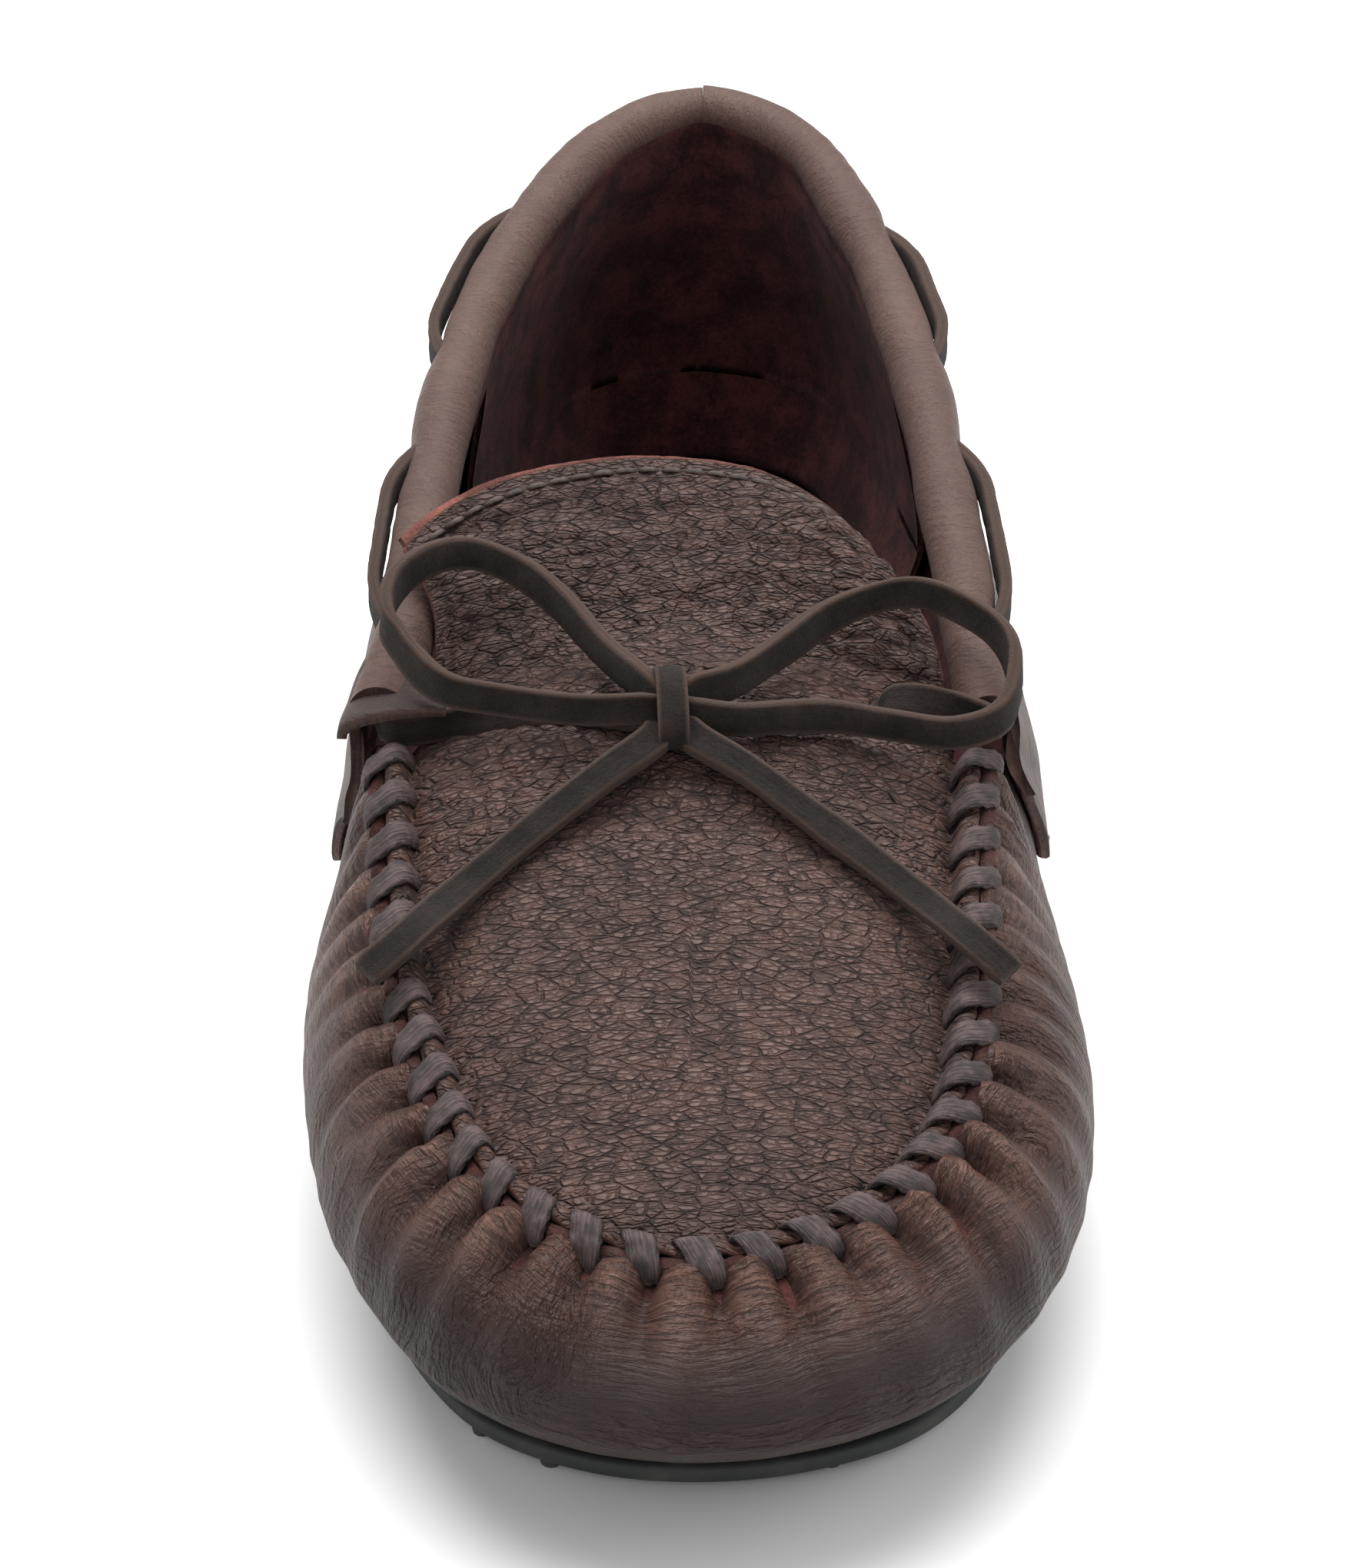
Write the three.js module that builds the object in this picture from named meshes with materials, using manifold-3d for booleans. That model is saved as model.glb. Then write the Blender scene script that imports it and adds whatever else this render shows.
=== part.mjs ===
// A man's leather moccasin: a wrap of leather gathered into a hand-sewn plug, two quarters with a
// rolled collar, a tongue, a studded rubber sole and a flat lace that runs round the collar.
// Millimetres. The toe points along -Y, the wearer's right is +X, and the studs stand on Z = 0.
import * as THREE from "three";
import { mergeVertices } from "three/addons/utils/BufferGeometryUtils.js";
import Module from "manifold-3d";

const wasm = await Module();
wasm.setup();

// ---- Overall sizes ----
const UPPER_LENGTH = 278; // toe bulge to heel bulge
const UPPER_WIDTH = 108.2; // across the ball of the foot
const COLLAR_RISE = 76.5; // middle of the heel's rolled collar above the wrap's underside

// ---- Sole and footbed ----
const STUD_HEIGHT = 1.9;
const STUD_RADIUS = 1.6;
const STUD_ROOT_RADIUS = 1.84;
const STUD_SINK = 0.5; // how far a stud's root goes into the sole's plate
const STUD_PITCH = 15;
const STUD_EDGE_MARGIN = 4;
const OUTSOLE_THICKNESS = 2.8;
const OUTSOLE_MARGIN = 1.2; // how far the sole stands out past the footprint
const BOARD_THICKNESS = 1.5;
const FOAM_THICKNESS = 2.5;
const SOCK_THICKNESS = 1.0;
const FOOTBED_INSET = 1.5;

// ---- Leathers ----
const GAP = 0.3; // left between pieces that touch
const WRAP_THICKNESS = 2.0;
const SKIVED_THICKNESS = 2.0; // the wrap is no thicker than this where it meets the seam
const PLUG_THICKNESS = 1.8;
const QUARTER_THICKNESS = 1.7;
const TONGUE_THICKNESS = 1.8;
const TONGUE_LINING_THICKNESS = 1.2;
const COUNTER_THICKNESS = 1.2;
const HEEL_LINING_THICKNESS = 1.0;
const HEEL_TAB_THICKNESS = 1.4;
const TAB_THICKNESS = 1.5;

// ---- Seams, collar and lace ----
const RIDGE_HEIGHT = 3.0; // the sewn edge of the plug stands this far above its field
const PLUG_CROWN = 9.0; // how far the field rises in the middle, at the instep
const CROWN_FLATNESS = 2.6; // 2 is a plain arch, more is flatter on top
const COLLAR_RADIUS = 4.5;
const COLLAR_TUCK = 5.0; // leather that hangs inside below the roll
const EDGE_LEAN = UPPER_WIDTH / 108.2; // the wrap's plain edge leans in, more on a wider shoe
const RIDGE_GAP = 0.5; // between the wrap's and the plug's edges, where the seam's thread passes
const LAP = 6.0; // how far the quarters hang down over the wrap's top edge
const SEAM_THREAD_RADIUS = 1.3;
const SEAM_THREAD_LIFT = 0.5;
const FINE_THREAD_RADIUS = 0.4;
const LACE_WIDTH = 4.5;
const LACE_THICKNESS = 2.0;
const LACE_BULGE = 1.2; // how far the lace stands off the collar in a window
const LACE_RAMP = 9; // length over which it passes through the collar's wall
const SLOT_CLEARANCE = 0.4;
const TONGUE_AXIS_Y = -22;
const TONGUE_STITCH_INSET = 0.05; // of the tongue's width and length
const HEEL_TAB_HALF = 0.55; // half of the heel tab's width, in ribs
const HEEL_SEAM_HALF = 0.02; // half of the gap between the quarters at the heel, in ribs
const THREAD_CLEAR_OF_HEEL = 0.7; // the quarters' threads stop this far from the heel, in ribs
const THREAD_UP_THE_LAP = 0.45; // the quarters' threads run this far up from the hem

// ---- How the leathers curve: handles of their sections, as shares of their reach or height ----
const UNDERSIDE_REACH = 0.1;
const UNDERSIDE_DROP = 0.15;
const SHOULDER_REACH = 0.5;
const SHOULDER_SAG = 0.15;
const WALL_RISE = 0.65;
const SIDE_SLIMMING = 0.6; // the wrap's shoulder gets this much flatter between the two ribs below
const SLIM_FROM = 4.5;
const QUARTER_FOOT = 0.45;
const QUARTER_TOP = 0.3;
const TUCK_LEAN = 0.6; // the tucked edge leans this far outwards
const FRONT_TUCK = 0.4; // of the tuck is left where the roll ends at the front

const DEGREE = Math.PI / 180;
const SOLE_TOP = STUD_HEIGHT + OUTSOLE_THICKNESS + GAP;

// ---- The shape of the last: 28 ribs round the foot, from the toe along the right side to the
// heel and back along the left. Heights are above the wrap's underside. ----
const FOOTPRINT = [
  [0.6, -124.5], [14.5, -122.6], [28, -116.5], [37, -105.5], [42, -91], [44.3, -72], [42.5, -50],
  [38.5, -27], [35.5, -6], [33.5, 22], [32.5, 50], [31, 76], [28, 99], [19, 119],
  [1.5, 127.5], [-16, 119.5], [-25.5, 99], [-30, 76], [-32, 50], [-33.5, 22], [-36, -6],
  [-39, -27], [-42.5, -50], [-43, -72], [-39.5, -90], [-34, -104.5], [-25.5, -116], [-13, -122.6],
];
const BULGE = [
  [0.6, -140.5, 15], [19, -137.3, 15], [34, -128.3, 15], [44.5, -114.5, 15.5], [51.2, -97.3, 16],
  [54.6, -75, 17], [53.6, -52, 19], [51, -30, 21.5], [49.8, -8, 24], [48, 20, 27], [44.5, 48, 28],
  [40, 76, 28.5], [35.2, 102, 28], [24.2, 126, 27], [1.5, 137.4, 26], [-21, 127, 27],
  [-32.8, 103, 28], [-38.5, 77, 28.5], [-44, 49, 28], [-48, 21, 27], [-49.6, -7, 24],
  [-51.3, -29, 21.5], [-53.6, -51, 19], [-52.3, -75, 17], [-48.3, -96, 16], [-41.5, -113, 15.5],
  [-31, -128, 15], [-16, -137.3, 15],
];
// The plug's seam, from the left end round the toe to the right end (ribs -7 to 7).
const SEAM = [
  [-43.3, -31, 47.8], [-41.5, -52, 42.5], [-38.5, -75, 37.8], [-33.3, -92.5, 34.8],
  [-28, -105.5, 33.5], [-19.5, -115.5, 32.5], [-9.5, -121.5, 31.8], [0.5, -123.5, 31.5],
  [12, -121.2, 31.8], [22.5, -115, 32.5], [30.2, -106, 33.5], [35.2, -93.5, 34.8],
  [38, -75, 37.8], [39.3, -53, 42.3], [41, -31, 47.5],
];
// The middle of the collar's roll, from the right front round the heel to the left front.
const COLLAR = [
  [42, -27, 50], [40.4, -8, 54.5], [38.5, 18, 59.5], [36.3, 45, 63.5], [31.8, 74, 68],
  [26.5, 97, 71.5], [17.5, 119.5, 74.8], [2, 129.6, 76.5], [-13.5, 120, 74.8], [-25.5, 97, 71.5],
  [-32.5, 75, 68], [-37.5, 46, 63.5], [-39.5, 18, 59.5], [-41, -7, 54.5], [-44, -26, 50.5],
];
const RIBS = BULGE.length;
const FRONT_RIB = 7; // the last rib that the plug's seam reaches on the right
const HEEL_RIB = 14;
const RIB_STEP = FRONT_RIB / 18; // every leather is cut at the same places round the shoe
const LAST_LENGTH = 277.9;
const LAST_WIDTH = 108.2;
const LAST_COLLAR_RISE = 76.5;
const LAST_COLLAR_RADIUS = 4.5; // a thicker roll grows outwards from the last

const onLast = ([x, y, height = 0]) =>
  new THREE.Vector3(
    (x * UPPER_WIDTH) / LAST_WIDTH,
    (y * UPPER_LENGTH) / LAST_LENGTH,
    SOLE_TOP + (height * COLLAR_RISE) / LAST_COLLAR_RISE,
  );

const closedCurve = (points) => new THREE.CatmullRomCurve3(points, true);
const footprint = closedCurve(FOOTPRINT.map(onLast));
const bulge = closedCurve(BULGE.map(onLast));
const collar = new THREE.CatmullRomCurve3(COLLAR.map(onLast));

// A place round the shoe, given in ribs from the toe; a negative rib is on the left side.
const around = (curve, rib) => curve.getPoint((((rib / RIBS) % 1) + 1) % 1);
const rollLine = (rib) =>
  collar.getPoint(THREE.MathUtils.clamp((rib - FRONT_RIB) / (COLLAR.length - 1), 0, 1));
function outwardFrom(sample, rib) {
  const ahead = sample(rib + 0.05);
  const along = ahead.sub(sample(rib - 0.05));
  return new THREE.Vector3(along.y, -along.x, 0).normalize();
}
const signedRib = (rib) => ((((rib + RIBS / 2) % RIBS) + RIBS) % RIBS) - RIBS / 2;
const outwardAt = (rib) => outwardFrom((r) => around(bulge, r), rib);
const collarOutward = (rib) => outwardFrom(rollLine, rib);
const smooth = THREE.MathUtils.smoothstep;
const up = (height) => new THREE.Vector3(0, 0, height);
const moved = (point, direction, distance) => point.clone().addScaledVector(direction, distance);

const collarAt = (rib) =>
  moved(rollLine(rib), collarOutward(rib), COLLAR_RADIUS - LAST_COLLAR_RADIUS);

// The wrap's top edge: the seam round the plug, then a plain edge under the quarters.
const wrapEdge = closedCurve(
  BULGE.map((_, rib) => {
    const stitched = SEAM[signedRib(rib) + FRONT_RIB];
    if (stitched) return onLast(stitched);
    return moved(moved(around(bulge, rib), outwardAt(rib), -EDGE_LEAN), up(1), LAP);
  }),
);

const steps = (from, to, count) =>
  Array.from({ length: count + 1 }, (_, i) => from + ((to - from) * i) / count);
const bend = (a, b, c, d, parts) =>
  new THREE.CubicBezierCurve3(a, b, c, d).getPoints(parts);

// ---- Closed solids from grids ----
function toGeometry(points, triangles) {
  const geometry = new THREE.BufferGeometry();
  const flat = points.flatMap((p) => [p.x, p.y, p.z]);
  geometry.setAttribute("position", new THREE.Float32BufferAttribute(flat, 3));
  geometry.setIndex(faceOutwards(points, triangles));
  return geometry;
}

function faceOutwards(points, triangles) {
  let volume = 0;
  for (let i = 0; i < triangles.length; i += 3) {
    const [a, b, c] = triangles.slice(i, i + 3).map((k) => points[k]);
    volume += a.dot(b.clone().cross(c));
  }
  return volume < 0 ? triangles.toReversed() : triangles;
}

// Joins rings of equal length into a skin; wrapped rings close on themselves.
function skin(triangles, rowCount, columnCount, start, wrapped, flipped = false) {
  const columns = wrapped ? columnCount : columnCount - 1;
  for (let row = 0; row < rowCount - 1; row++)
    for (let column = 0; column < columns; column++) {
      const next = (column + 1) % columnCount;
      const a = start + row * columnCount + column;
      const b = start + row * columnCount + next;
      const c = a + columnCount;
      const d = b + columnCount;
      triangles.push(...(flipped ? [a, c, b, b, c, d] : [a, b, c, b, d, c]));
    }
}

// A bar through rings of points, with flat ends.
function loft(rings) {
  const size = rings[0].length;
  const triangles = [];
  skin(triangles, rings.length, size, 0, true);
  const last = (rings.length - 1) * size;
  for (let i = 1; i < size - 1; i++) {
    triangles.push(0, i + 1, i);
    triangles.push(last, last + i, last + i + 1);
  }
  return toGeometry(rings.flat(), triangles);
}

function surfaceNormals(grid, wrapped) {
  const rows = grid.length;
  return grid.map((line, row) =>
    line.map((_, column) => {
      const count = line.length;
      const next = wrapped ? (column + 1) % count : Math.min(column + 1, count - 1);
      const previous = wrapped ? (column + count - 1) % count : Math.max(column - 1, 0);
      const along = line[next].clone().sub(line[previous]);
      const above = grid[Math.min(row + 1, rows - 1)][column];
      const across = above.clone().sub(grid[Math.max(row - 1, 0)][column]);
      return along.cross(across).normalize();
    }),
  );
}

// The same grid moved along its own normals; a negative distance moves it to the other side.
function offsetGrid(grid, distance, wrapped = false) {
  const normals = surfaceNormals(grid, wrapped);
  return grid.map((line, row) => line.map((p, column) => moved(p, normals[row][column], distance)));
}

// A sheet of leather between two grids of the same size.
function sheet(outer, inner, { wrapped = false, floor = false } = {}) {
  const rows = outer.length;
  const columns = outer[0].length;
  const half = rows * columns;
  const points = [...outer.flat(), ...inner.flat()];
  const triangles = [];
  skin(triangles, rows, columns, 0, wrapped);
  skin(triangles, rows, columns, half, wrapped, true);
  const edges = wrapped ? columns : columns - 1;
  for (let i = 0; i < edges; i++) {
    const next = (i + 1) % columns;
    const top = (rows - 1) * columns;
    triangles.push(top + i, top + next, half + top + i);
    triangles.push(top + next, half + top + next, half + top + i);
    if (floor) continue;
    triangles.push(i, half + i, next, next, half + i, half + next);
  }
  if (floor) addFloor(triangles, outer[0], 0, false);
  if (floor) addFloor(triangles, inner[0], half, true);
  for (let row = 0; !wrapped && row < rows - 1; row++) {
    const left = row * columns;
    const right = left + columns - 1;
    const leftUp = left + columns;
    const rightUp = right + columns;
    triangles.push(left, leftUp, half + left, leftUp, half + leftUp, half + left);
    triangles.push(right, half + right, rightUp, rightUp, half + right, half + rightUp);
  }
  return toGeometry(points, triangles);
}

function addFloor(triangles, ring, start, facesUp) {
  const outline = ring.map((p) => new THREE.Vector2(p.x, p.y));
  for (const [a, b, c] of THREE.ShapeUtils.triangulateShape(outline, []))
    triangles.push(start + a, ...(facesUp ? [start + b, start + c] : [start + c, start + b]));
}

// A flat plate with the footprint's outline.
function footprintPlate(margin, bottom, thickness, count = 56) {
  const ring = steps(0, RIBS, count).slice(0, -1).map((rib) => {
    const outward = outwardFrom((r) => around(footprint, r), rib);
    return moved(around(footprint, rib), outward, margin);
  });
  const shape = new THREE.Shape(ring.map((p) => new THREE.Vector2(p.x, p.y)));
  const plate = new THREE.ExtrudeGeometry(shape, { depth: thickness, bevelEnabled: false });
  return plate.translate(0, 0, bottom);
}

function toSolid(geometry) {
  const bare = geometry.index ? geometry.toNonIndexed() : geometry.clone();
  bare.deleteAttribute("normal");
  bare.deleteAttribute("uv");
  const merged = mergeVertices(bare, 1e-4);
  const vertProperties = merged.attributes.position.array;
  const triVerts = new Uint32Array(merged.index.array);
  return new wasm.Manifold(new wasm.Mesh({ numProp: 3, vertProperties, triVerts }));
}

function fromSolid(solid) {
  const { vertProperties, triVerts } = solid.getMesh();
  const geometry = new THREE.BufferGeometry();
  geometry.setAttribute("position", new THREE.BufferAttribute(vertProperties, 3));
  return geometry.setIndex(new THREE.BufferAttribute(triVerts, 1));
}

const join = (...pieces) => fromSolid(pieces.map(toSolid).reduce((a, b) => a.add(b)));
const cut = (piece, tool) => fromSolid(toSolid(piece).subtract(toSolid(tool)));

// ---- The wrap's skin ----
// Heights up the wrap run from 0 at the footprint, through 1 at the bulge, to 2 at its top edge.
function lowerProfile(rib, parts) {
  const foot = around(footprint, rib);
  const wide = around(bulge, rib);
  const reach = new THREE.Vector3(wide.x - foot.x, wide.y - foot.y, 0);
  const drop = wide.z - foot.z;
  const low = moved(foot, reach, UNDERSIDE_REACH);
  return bend(foot, low, moved(wide, up(1), -UNDERSIDE_DROP * drop), wide, parts);
}

function upperProfile(rib, parts) {
  const wide = around(bulge, rib);
  const edge = moved(around(wrapEdge, rib), outwardAt(rib), RIDGE_GAP / 2);
  const reach = new THREE.Vector3(wide.x - edge.x, wide.y - edge.y, 0);
  const rise = edge.z - wide.z;
  const fullness = 1 - SIDE_SLIMMING * smooth(Math.abs(signedRib(rib)), SLIM_FROM, FRONT_RIB);
  const sag = SHOULDER_SAG * (fullness - 1) * rise;
  const shoulder = moved(moved(edge, reach, SHOULDER_REACH * fullness), up(1), sag);
  return bend(wide, moved(wide, up(1), WALL_RISE * fullness * rise), shoulder, edge, parts);
}

function wrapGrid(ribs) {
  const profiles = ribs.map((rib) => [...lowerProfile(rib, 4), ...upperProfile(rib, 5).slice(1)]);
  return profiles[0].map((_, row) => profiles.map((profile) => profile[row]));
}

function bottomWrap() {
  const ribs = steps(0, RIBS, RIBS / RIB_STEP).slice(0, -1);
  const outer = wrapGrid(ribs);
  const inner = offsetGrid(outer, -WRAP_THICKNESS, true);
  const edgeThickness = Math.min(WRAP_THICKNESS, SKIVED_THICKNESS);
  const skived = offsetGrid(outer, -edgeThickness, true);
  const level = (points) => points.map((p) => moved(p, up(1), WRAP_THICKNESS));
  const edge = outer.at(-1).map((p, i) =>
    Math.abs(signedRib(ribs[i])) > FRONT_RIB ? skived.at(-1)[i] : moved(p, up(1), -edgeThickness),
  );
  const lining = [level(outer[0]), ...inner.slice(1, -3), ...skived.slice(-3, -1), edge];
  return sheet(outer, lining, { wrapped: true, floor: true });
}

// ---- The plug ----
const seamAt = (rib, inset) => moved(around(wrapEdge, rib), outwardAt(rib), -inset);
const crownAt = (rib) => PLUG_CROWN * (rib / FRONT_RIB) ** 0.85;

// One line across the plug between two points of its edge, arched by its crown.
function archedLine(left, right, crown, parts) {
  return steps(-1, 1, parts).map((w) =>
    left.clone().lerp(right, (w + 1) / 2).add(up(crown * (1 - Math.abs(w) ** CROWN_FLATNESS))),
  );
}

function plug() {
  const inset = RIDGE_GAP / 2 + PLUG_THICKNESS / 2;
  const ribs = [0.3, 0.8, 1.5, 2.2, 3, 4, 5, 6, FRONT_RIB];
  const lines = ribs.map((rib) => {
    const left = moved(seamAt(-rib, inset), up(1), -RIDGE_HEIGHT);
    const right = moved(seamAt(rib, inset), up(1), -RIDGE_HEIGHT);
    return archedLine(left, right, crownAt(rib), 10);
  });
  lines.push(archedLine(...tongueRoot(GAP / 2), TONGUE_CROWN, 10));
  const field = sheet(lines, offsetGrid(lines, -PLUG_THICKNESS));
  return cut(join(field, plugFlange()), laceClearance(laceRoute()));
}

const FLANGE_LIFT = 0.2; // the flange's foot stays this far above the field's underside

// The plug's edge, turned up all round the seam.
function plugFlange() {
  const ribs = steps(-FRONT_RIB, FRONT_RIB, 42);
  const foot = -RIDGE_HEIGHT - PLUG_THICKNESS + FLANGE_LIFT;
  const line = (inset, rise) => ribs.map((rib) => moved(seamAt(rib, inset), up(1), rise));
  const wall = (inset) => [line(inset, foot), line(inset, 0)];
  return sheet(wall(RIDGE_GAP / 2), wall(RIDGE_GAP / 2 + PLUG_THICKNESS));
}

// ---- The tongue ----
const TONGUE_CROWN = 9.6;
const TONGUE_ROOT = [[-37.2, TONGUE_AXIS_Y, 46.6], [36.2, TONGUE_AXIS_Y, 46.6]];
const TONGUE_LEFT = [[-37, -16, 51.5], [-36.9, -11, 57], [-38.6, -7, 62]];
const TONGUE_TIP = [
  [-41, -4.5, 66], [-37.5, 0, 68], [-29, 4.8, 71], [-17.8, 8.2, 72.6], [-4.4, 9.6, 73],
  [11.3, 6.9, 71.8], [20.2, 2.5, 68.5], [27.9, -3.7, 62.5],
];
const TONGUE_RIGHT = [[36.4, -18, 50.5], [34.8, -13, 55.5], [32, -8.3, 59.5]];

function tongueRoot(back) {
  return TONGUE_ROOT.map((corner) => onLast(corner).add(new THREE.Vector3(0, back, 0)));
}

// A patch that follows the root line, both sides and the tip.
function tongueGrid(inset = 0, columns = 12, rows = 8) {
  const [rootLeft, rootRight] = tongueRoot(GAP);
  const rootLine = archedLine(rootLeft, rootRight, TONGUE_CROWN, columns);
  const curve = (points) => new THREE.CatmullRomCurve3(points);
  const tip = curve(TONGUE_TIP.map(onLast));
  const left = curve([rootLeft, ...TONGUE_LEFT.map(onLast), onLast(TONGUE_TIP[0])]);
  const right = curve([rootRight, ...TONGUE_RIGHT.map(onLast), onLast(TONGUE_TIP.at(-1))]);
  return steps(0, 1 - inset, rows).map((v) =>
    steps(inset, 1 - inset, columns).map((u) => {
      const root = sampleLine(rootLine, u);
      const ends = left.getPoint(v).multiplyScalar(1 - u).addScaledVector(right.getPoint(v), u);
      const span = root.multiplyScalar(1 - v).addScaledVector(tip.getPoint(u), v);
      const low = rootLeft.clone().lerp(rootRight, u);
      const high = tip.getPoint(0).lerp(tip.getPoint(1), u);
      return ends.add(span).sub(low.lerp(high, v));
    }),
  );
}

function sampleLine(points, u) {
  const place = u * (points.length - 1);
  const index = Math.min(Math.floor(place), points.length - 2);
  return points[index].clone().lerp(points[index + 1], place - index);
}

const tongue = () => {
  const grid = tongueGrid();
  return sheet(grid, offsetGrid(grid, -TONGUE_THICKNESS));
};

const LINING_INSET = 0.04; // of the tongue's width and length

const tongueLining = () => {
  const grid = tongueGrid(LINING_INSET);
  const top = offsetGrid(grid, -TONGUE_THICKNESS - 4 * GAP);
  return sheet(top, offsetGrid(top, -TONGUE_LINING_THICKNESS));
};

function tongueThread() {
  const grid = offsetGrid(tongueGrid(TONGUE_STITCH_INSET, 20, 8), GAP + FINE_THREAD_RADIUS);
  return roundBar(grid.at(-1), FINE_THREAD_RADIUS, 6);
}

// ---- Bars: round threads and the flat lace ----
function roundBar(points, radius, sides, count = points.length * 2) {
  const circle = new THREE.Shape().absarc(0, 0, radius, 0, 2 * Math.PI);
  const outline = new THREE.Shape(circle.getPoints(sides / 2).slice(0, -1));
  const extrudePath = new THREE.CatmullRomCurve3(points);
  return new THREE.ExtrudeGeometry(outline, { steps: count, extrudePath, bevelEnabled: false });
}

const BAR_SIDES = 8;
const BAR_FLATNESS = 1.3; // 1 is an ellipse, more is flatter with tighter corners

// A flat bar whose wide side follows "across" at each point of the route.
function flatBar(route, width, thickness) {
  const centre = new THREE.CatmullRomCurve3(route.map((stop) => stop.at));
  const rings = route.map((stop, i) => {
    const along = centre.getTangent(i / (route.length - 1));
    const face = along.clone().cross(stop.across).normalize();
    const side = face.clone().cross(along).normalize();
    return steps(0, BAR_SIDES, BAR_SIDES).slice(0, -1).map((k) => {
      const angle = ((k + 0.5) / BAR_SIDES) * 2 * Math.PI;
      const squared = (value) => THREE.MathUtils.clamp(value * BAR_FLATNESS, -1, 1);
      const wide = squared(Math.cos(angle)) * (width / 2);
      const thick = squared(Math.sin(angle)) * (thickness / 2);
      return stop.at.clone().addScaledVector(side, wide).addScaledVector(face, thick);
    });
  });
  return loft(rings);
}

// ---- The quarters ----
const QUARTER_STAND_OFF = GAP + QUARTER_THICKNESS + 0.1; // the quarters lie outside the wrap
const ROLL_ANGLES = [36, 72, 108, 144, 180, 205];

// Where the quarters' hem rises to the front end: over how many ribs, and how far. A rise of 1
// brings the hem up to the bulge, and what is over 1 goes on up the wall.
const HEM_RISE_RIBS = 1.1;
const HEM_RISE = 1.4;
const HEM_STEP = 0.06; // the least share of the wall between the hem and the next row

// The leather's section at a rib: up the wall, round the roll and down inside.
function quarterSection(rib, inset) {
  const wide = moved(around(bulge, rib), outwardAt(rib), QUARTER_STAND_OFF - inset);
  const centre = collarAt(rib);
  const outward = collarOutward(rib);
  const radius = COLLAR_RADIUS - inset;
  const rollPoint = (angle) =>
    moved(moved(centre, outward, radius * Math.cos(angle)), up(1), radius * Math.sin(angle));
  const meet = rollPoint(0);
  const height = meet.z - wide.z;
  const low = moved(wide, up(1), QUARTER_FOOT * height);
  const side = new THREE.CubicBezierCurve3(wide, low, moved(meet, up(1), -QUARTER_TOP * height), meet);
  const front = Math.min(rib - FRONT_RIB, FRONT_RIB * 3 - rib);
  const rise = HEM_RISE * (1 - smooth(front, 0, HEM_RISE_RIBS));
  const start = Math.max(rise - 1, 0);
  const hem = rise < 1 ? moved(wide, up(1), LAP * (rise - 1)) : side.getPoint(start);
  const wall = steps(start + HEM_STEP * Math.min(rise, 1), 1, 4).map((t) => side.getPoint(t));
  const roll = ROLL_ANGLES.map((angle) => rollPoint(angle * DEGREE));
  const tuck = COLLAR_TUCK * THREE.MathUtils.clamp(FRONT_TUCK + front, 0, 1);
  const end = moved(roll.at(-1), up(1), -tuck).addScaledVector(outward, TUCK_LEAN);
  return [hem, ...wall, ...roll, end];
}

function quarterGrid(ribs, inset) {
  const sections = ribs.map((rib) => quarterSection(rib, inset));
  return sections[0].map((_, row) => sections.map((section) => section[row]));
}

function quarterShell(fromRib, toRib) {
  const ribs = steps(fromRib, toRib, FRONT_RIB / RIB_STEP);
  return sheet(quarterGrid(ribs, 0), quarterGrid(ribs, QUARTER_THICKNESS));
}

function quarterRight() {
  return cut(quarterShell(FRONT_RIB, HEEL_RIB - HEEL_SEAM_HALF), laceClearance(laceRoute()));
}

function quarterLeft() {
  const shell = quarterShell(HEEL_RIB + HEEL_SEAM_HALF, 3 * FRONT_RIB);
  return cut(join(shell, quarterTab()), laceClearance(laceRoute()));
}

const TAB_TOP = [[-46, 52.5], [-43, 53.8], [-39, 54], [-34.6, 54]];
const TAB_FRONT_Y = -31;
const TAB_BACK_Y = -23;

// The left quarter's front tab, which lies over the lace and the plug's edge.
function quarterTab() {
  const line = (y) => TAB_TOP.map(([x, height]) => onLast([x, y, height]));
  const lines = steps(TAB_FRONT_Y, TAB_BACK_Y, 3).map(line);
  return sheet(lines, offsetGrid(lines, -TAB_THICKNESS));
}

// ---- The lace ----
const RIGHT_WINDOWS = [[-9, 30], [56, 89]];
const LEFT_WINDOWS = [[-7, 29], [57, 94]];

// How far the lace stands out from the middle of the roll.
function laceStandOff(y, windows) {
  const outside = COLLAR_RADIUS + GAP + LACE_THICKNESS / 2 + LACE_BULGE;
  const shares = windows.map(([front, back]) =>
    smooth(y, front - LACE_RAMP / 2, front + LACE_RAMP / 2) *
    (1 - smooth(y, back - LACE_RAMP / 2, back + LACE_RAMP / 2)),
  );
  return outside * Math.max(...shares);
}

const LACE_FRONT_RIGHT = [
  [43.2, -29, 50.6], [40.2, -29, 52.4], [36, -28, 53.4], [31.5, -26.6, 53.3], [28.6, -25.8, 52.4],
  [27.2, -25.4, 49.4],
];
const LACE_FRONT_LEFT = [
  [-43.4, -28.4, 50.2], [-39.5, -29, 50], [-34, -28.4, 50.6], [-27, -29.4, 52.6], [-20, -31, 54.1],
  [-13.5, -33, 55], [-7.5, -34.6, 55.2],
];

const LACE_INSET = 0.06; // the lace enters the collar this far behind its front ends, in ribs
const LACE_TILT = 0.25; // how much the lace still stands up where it lies flat on the plug

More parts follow.
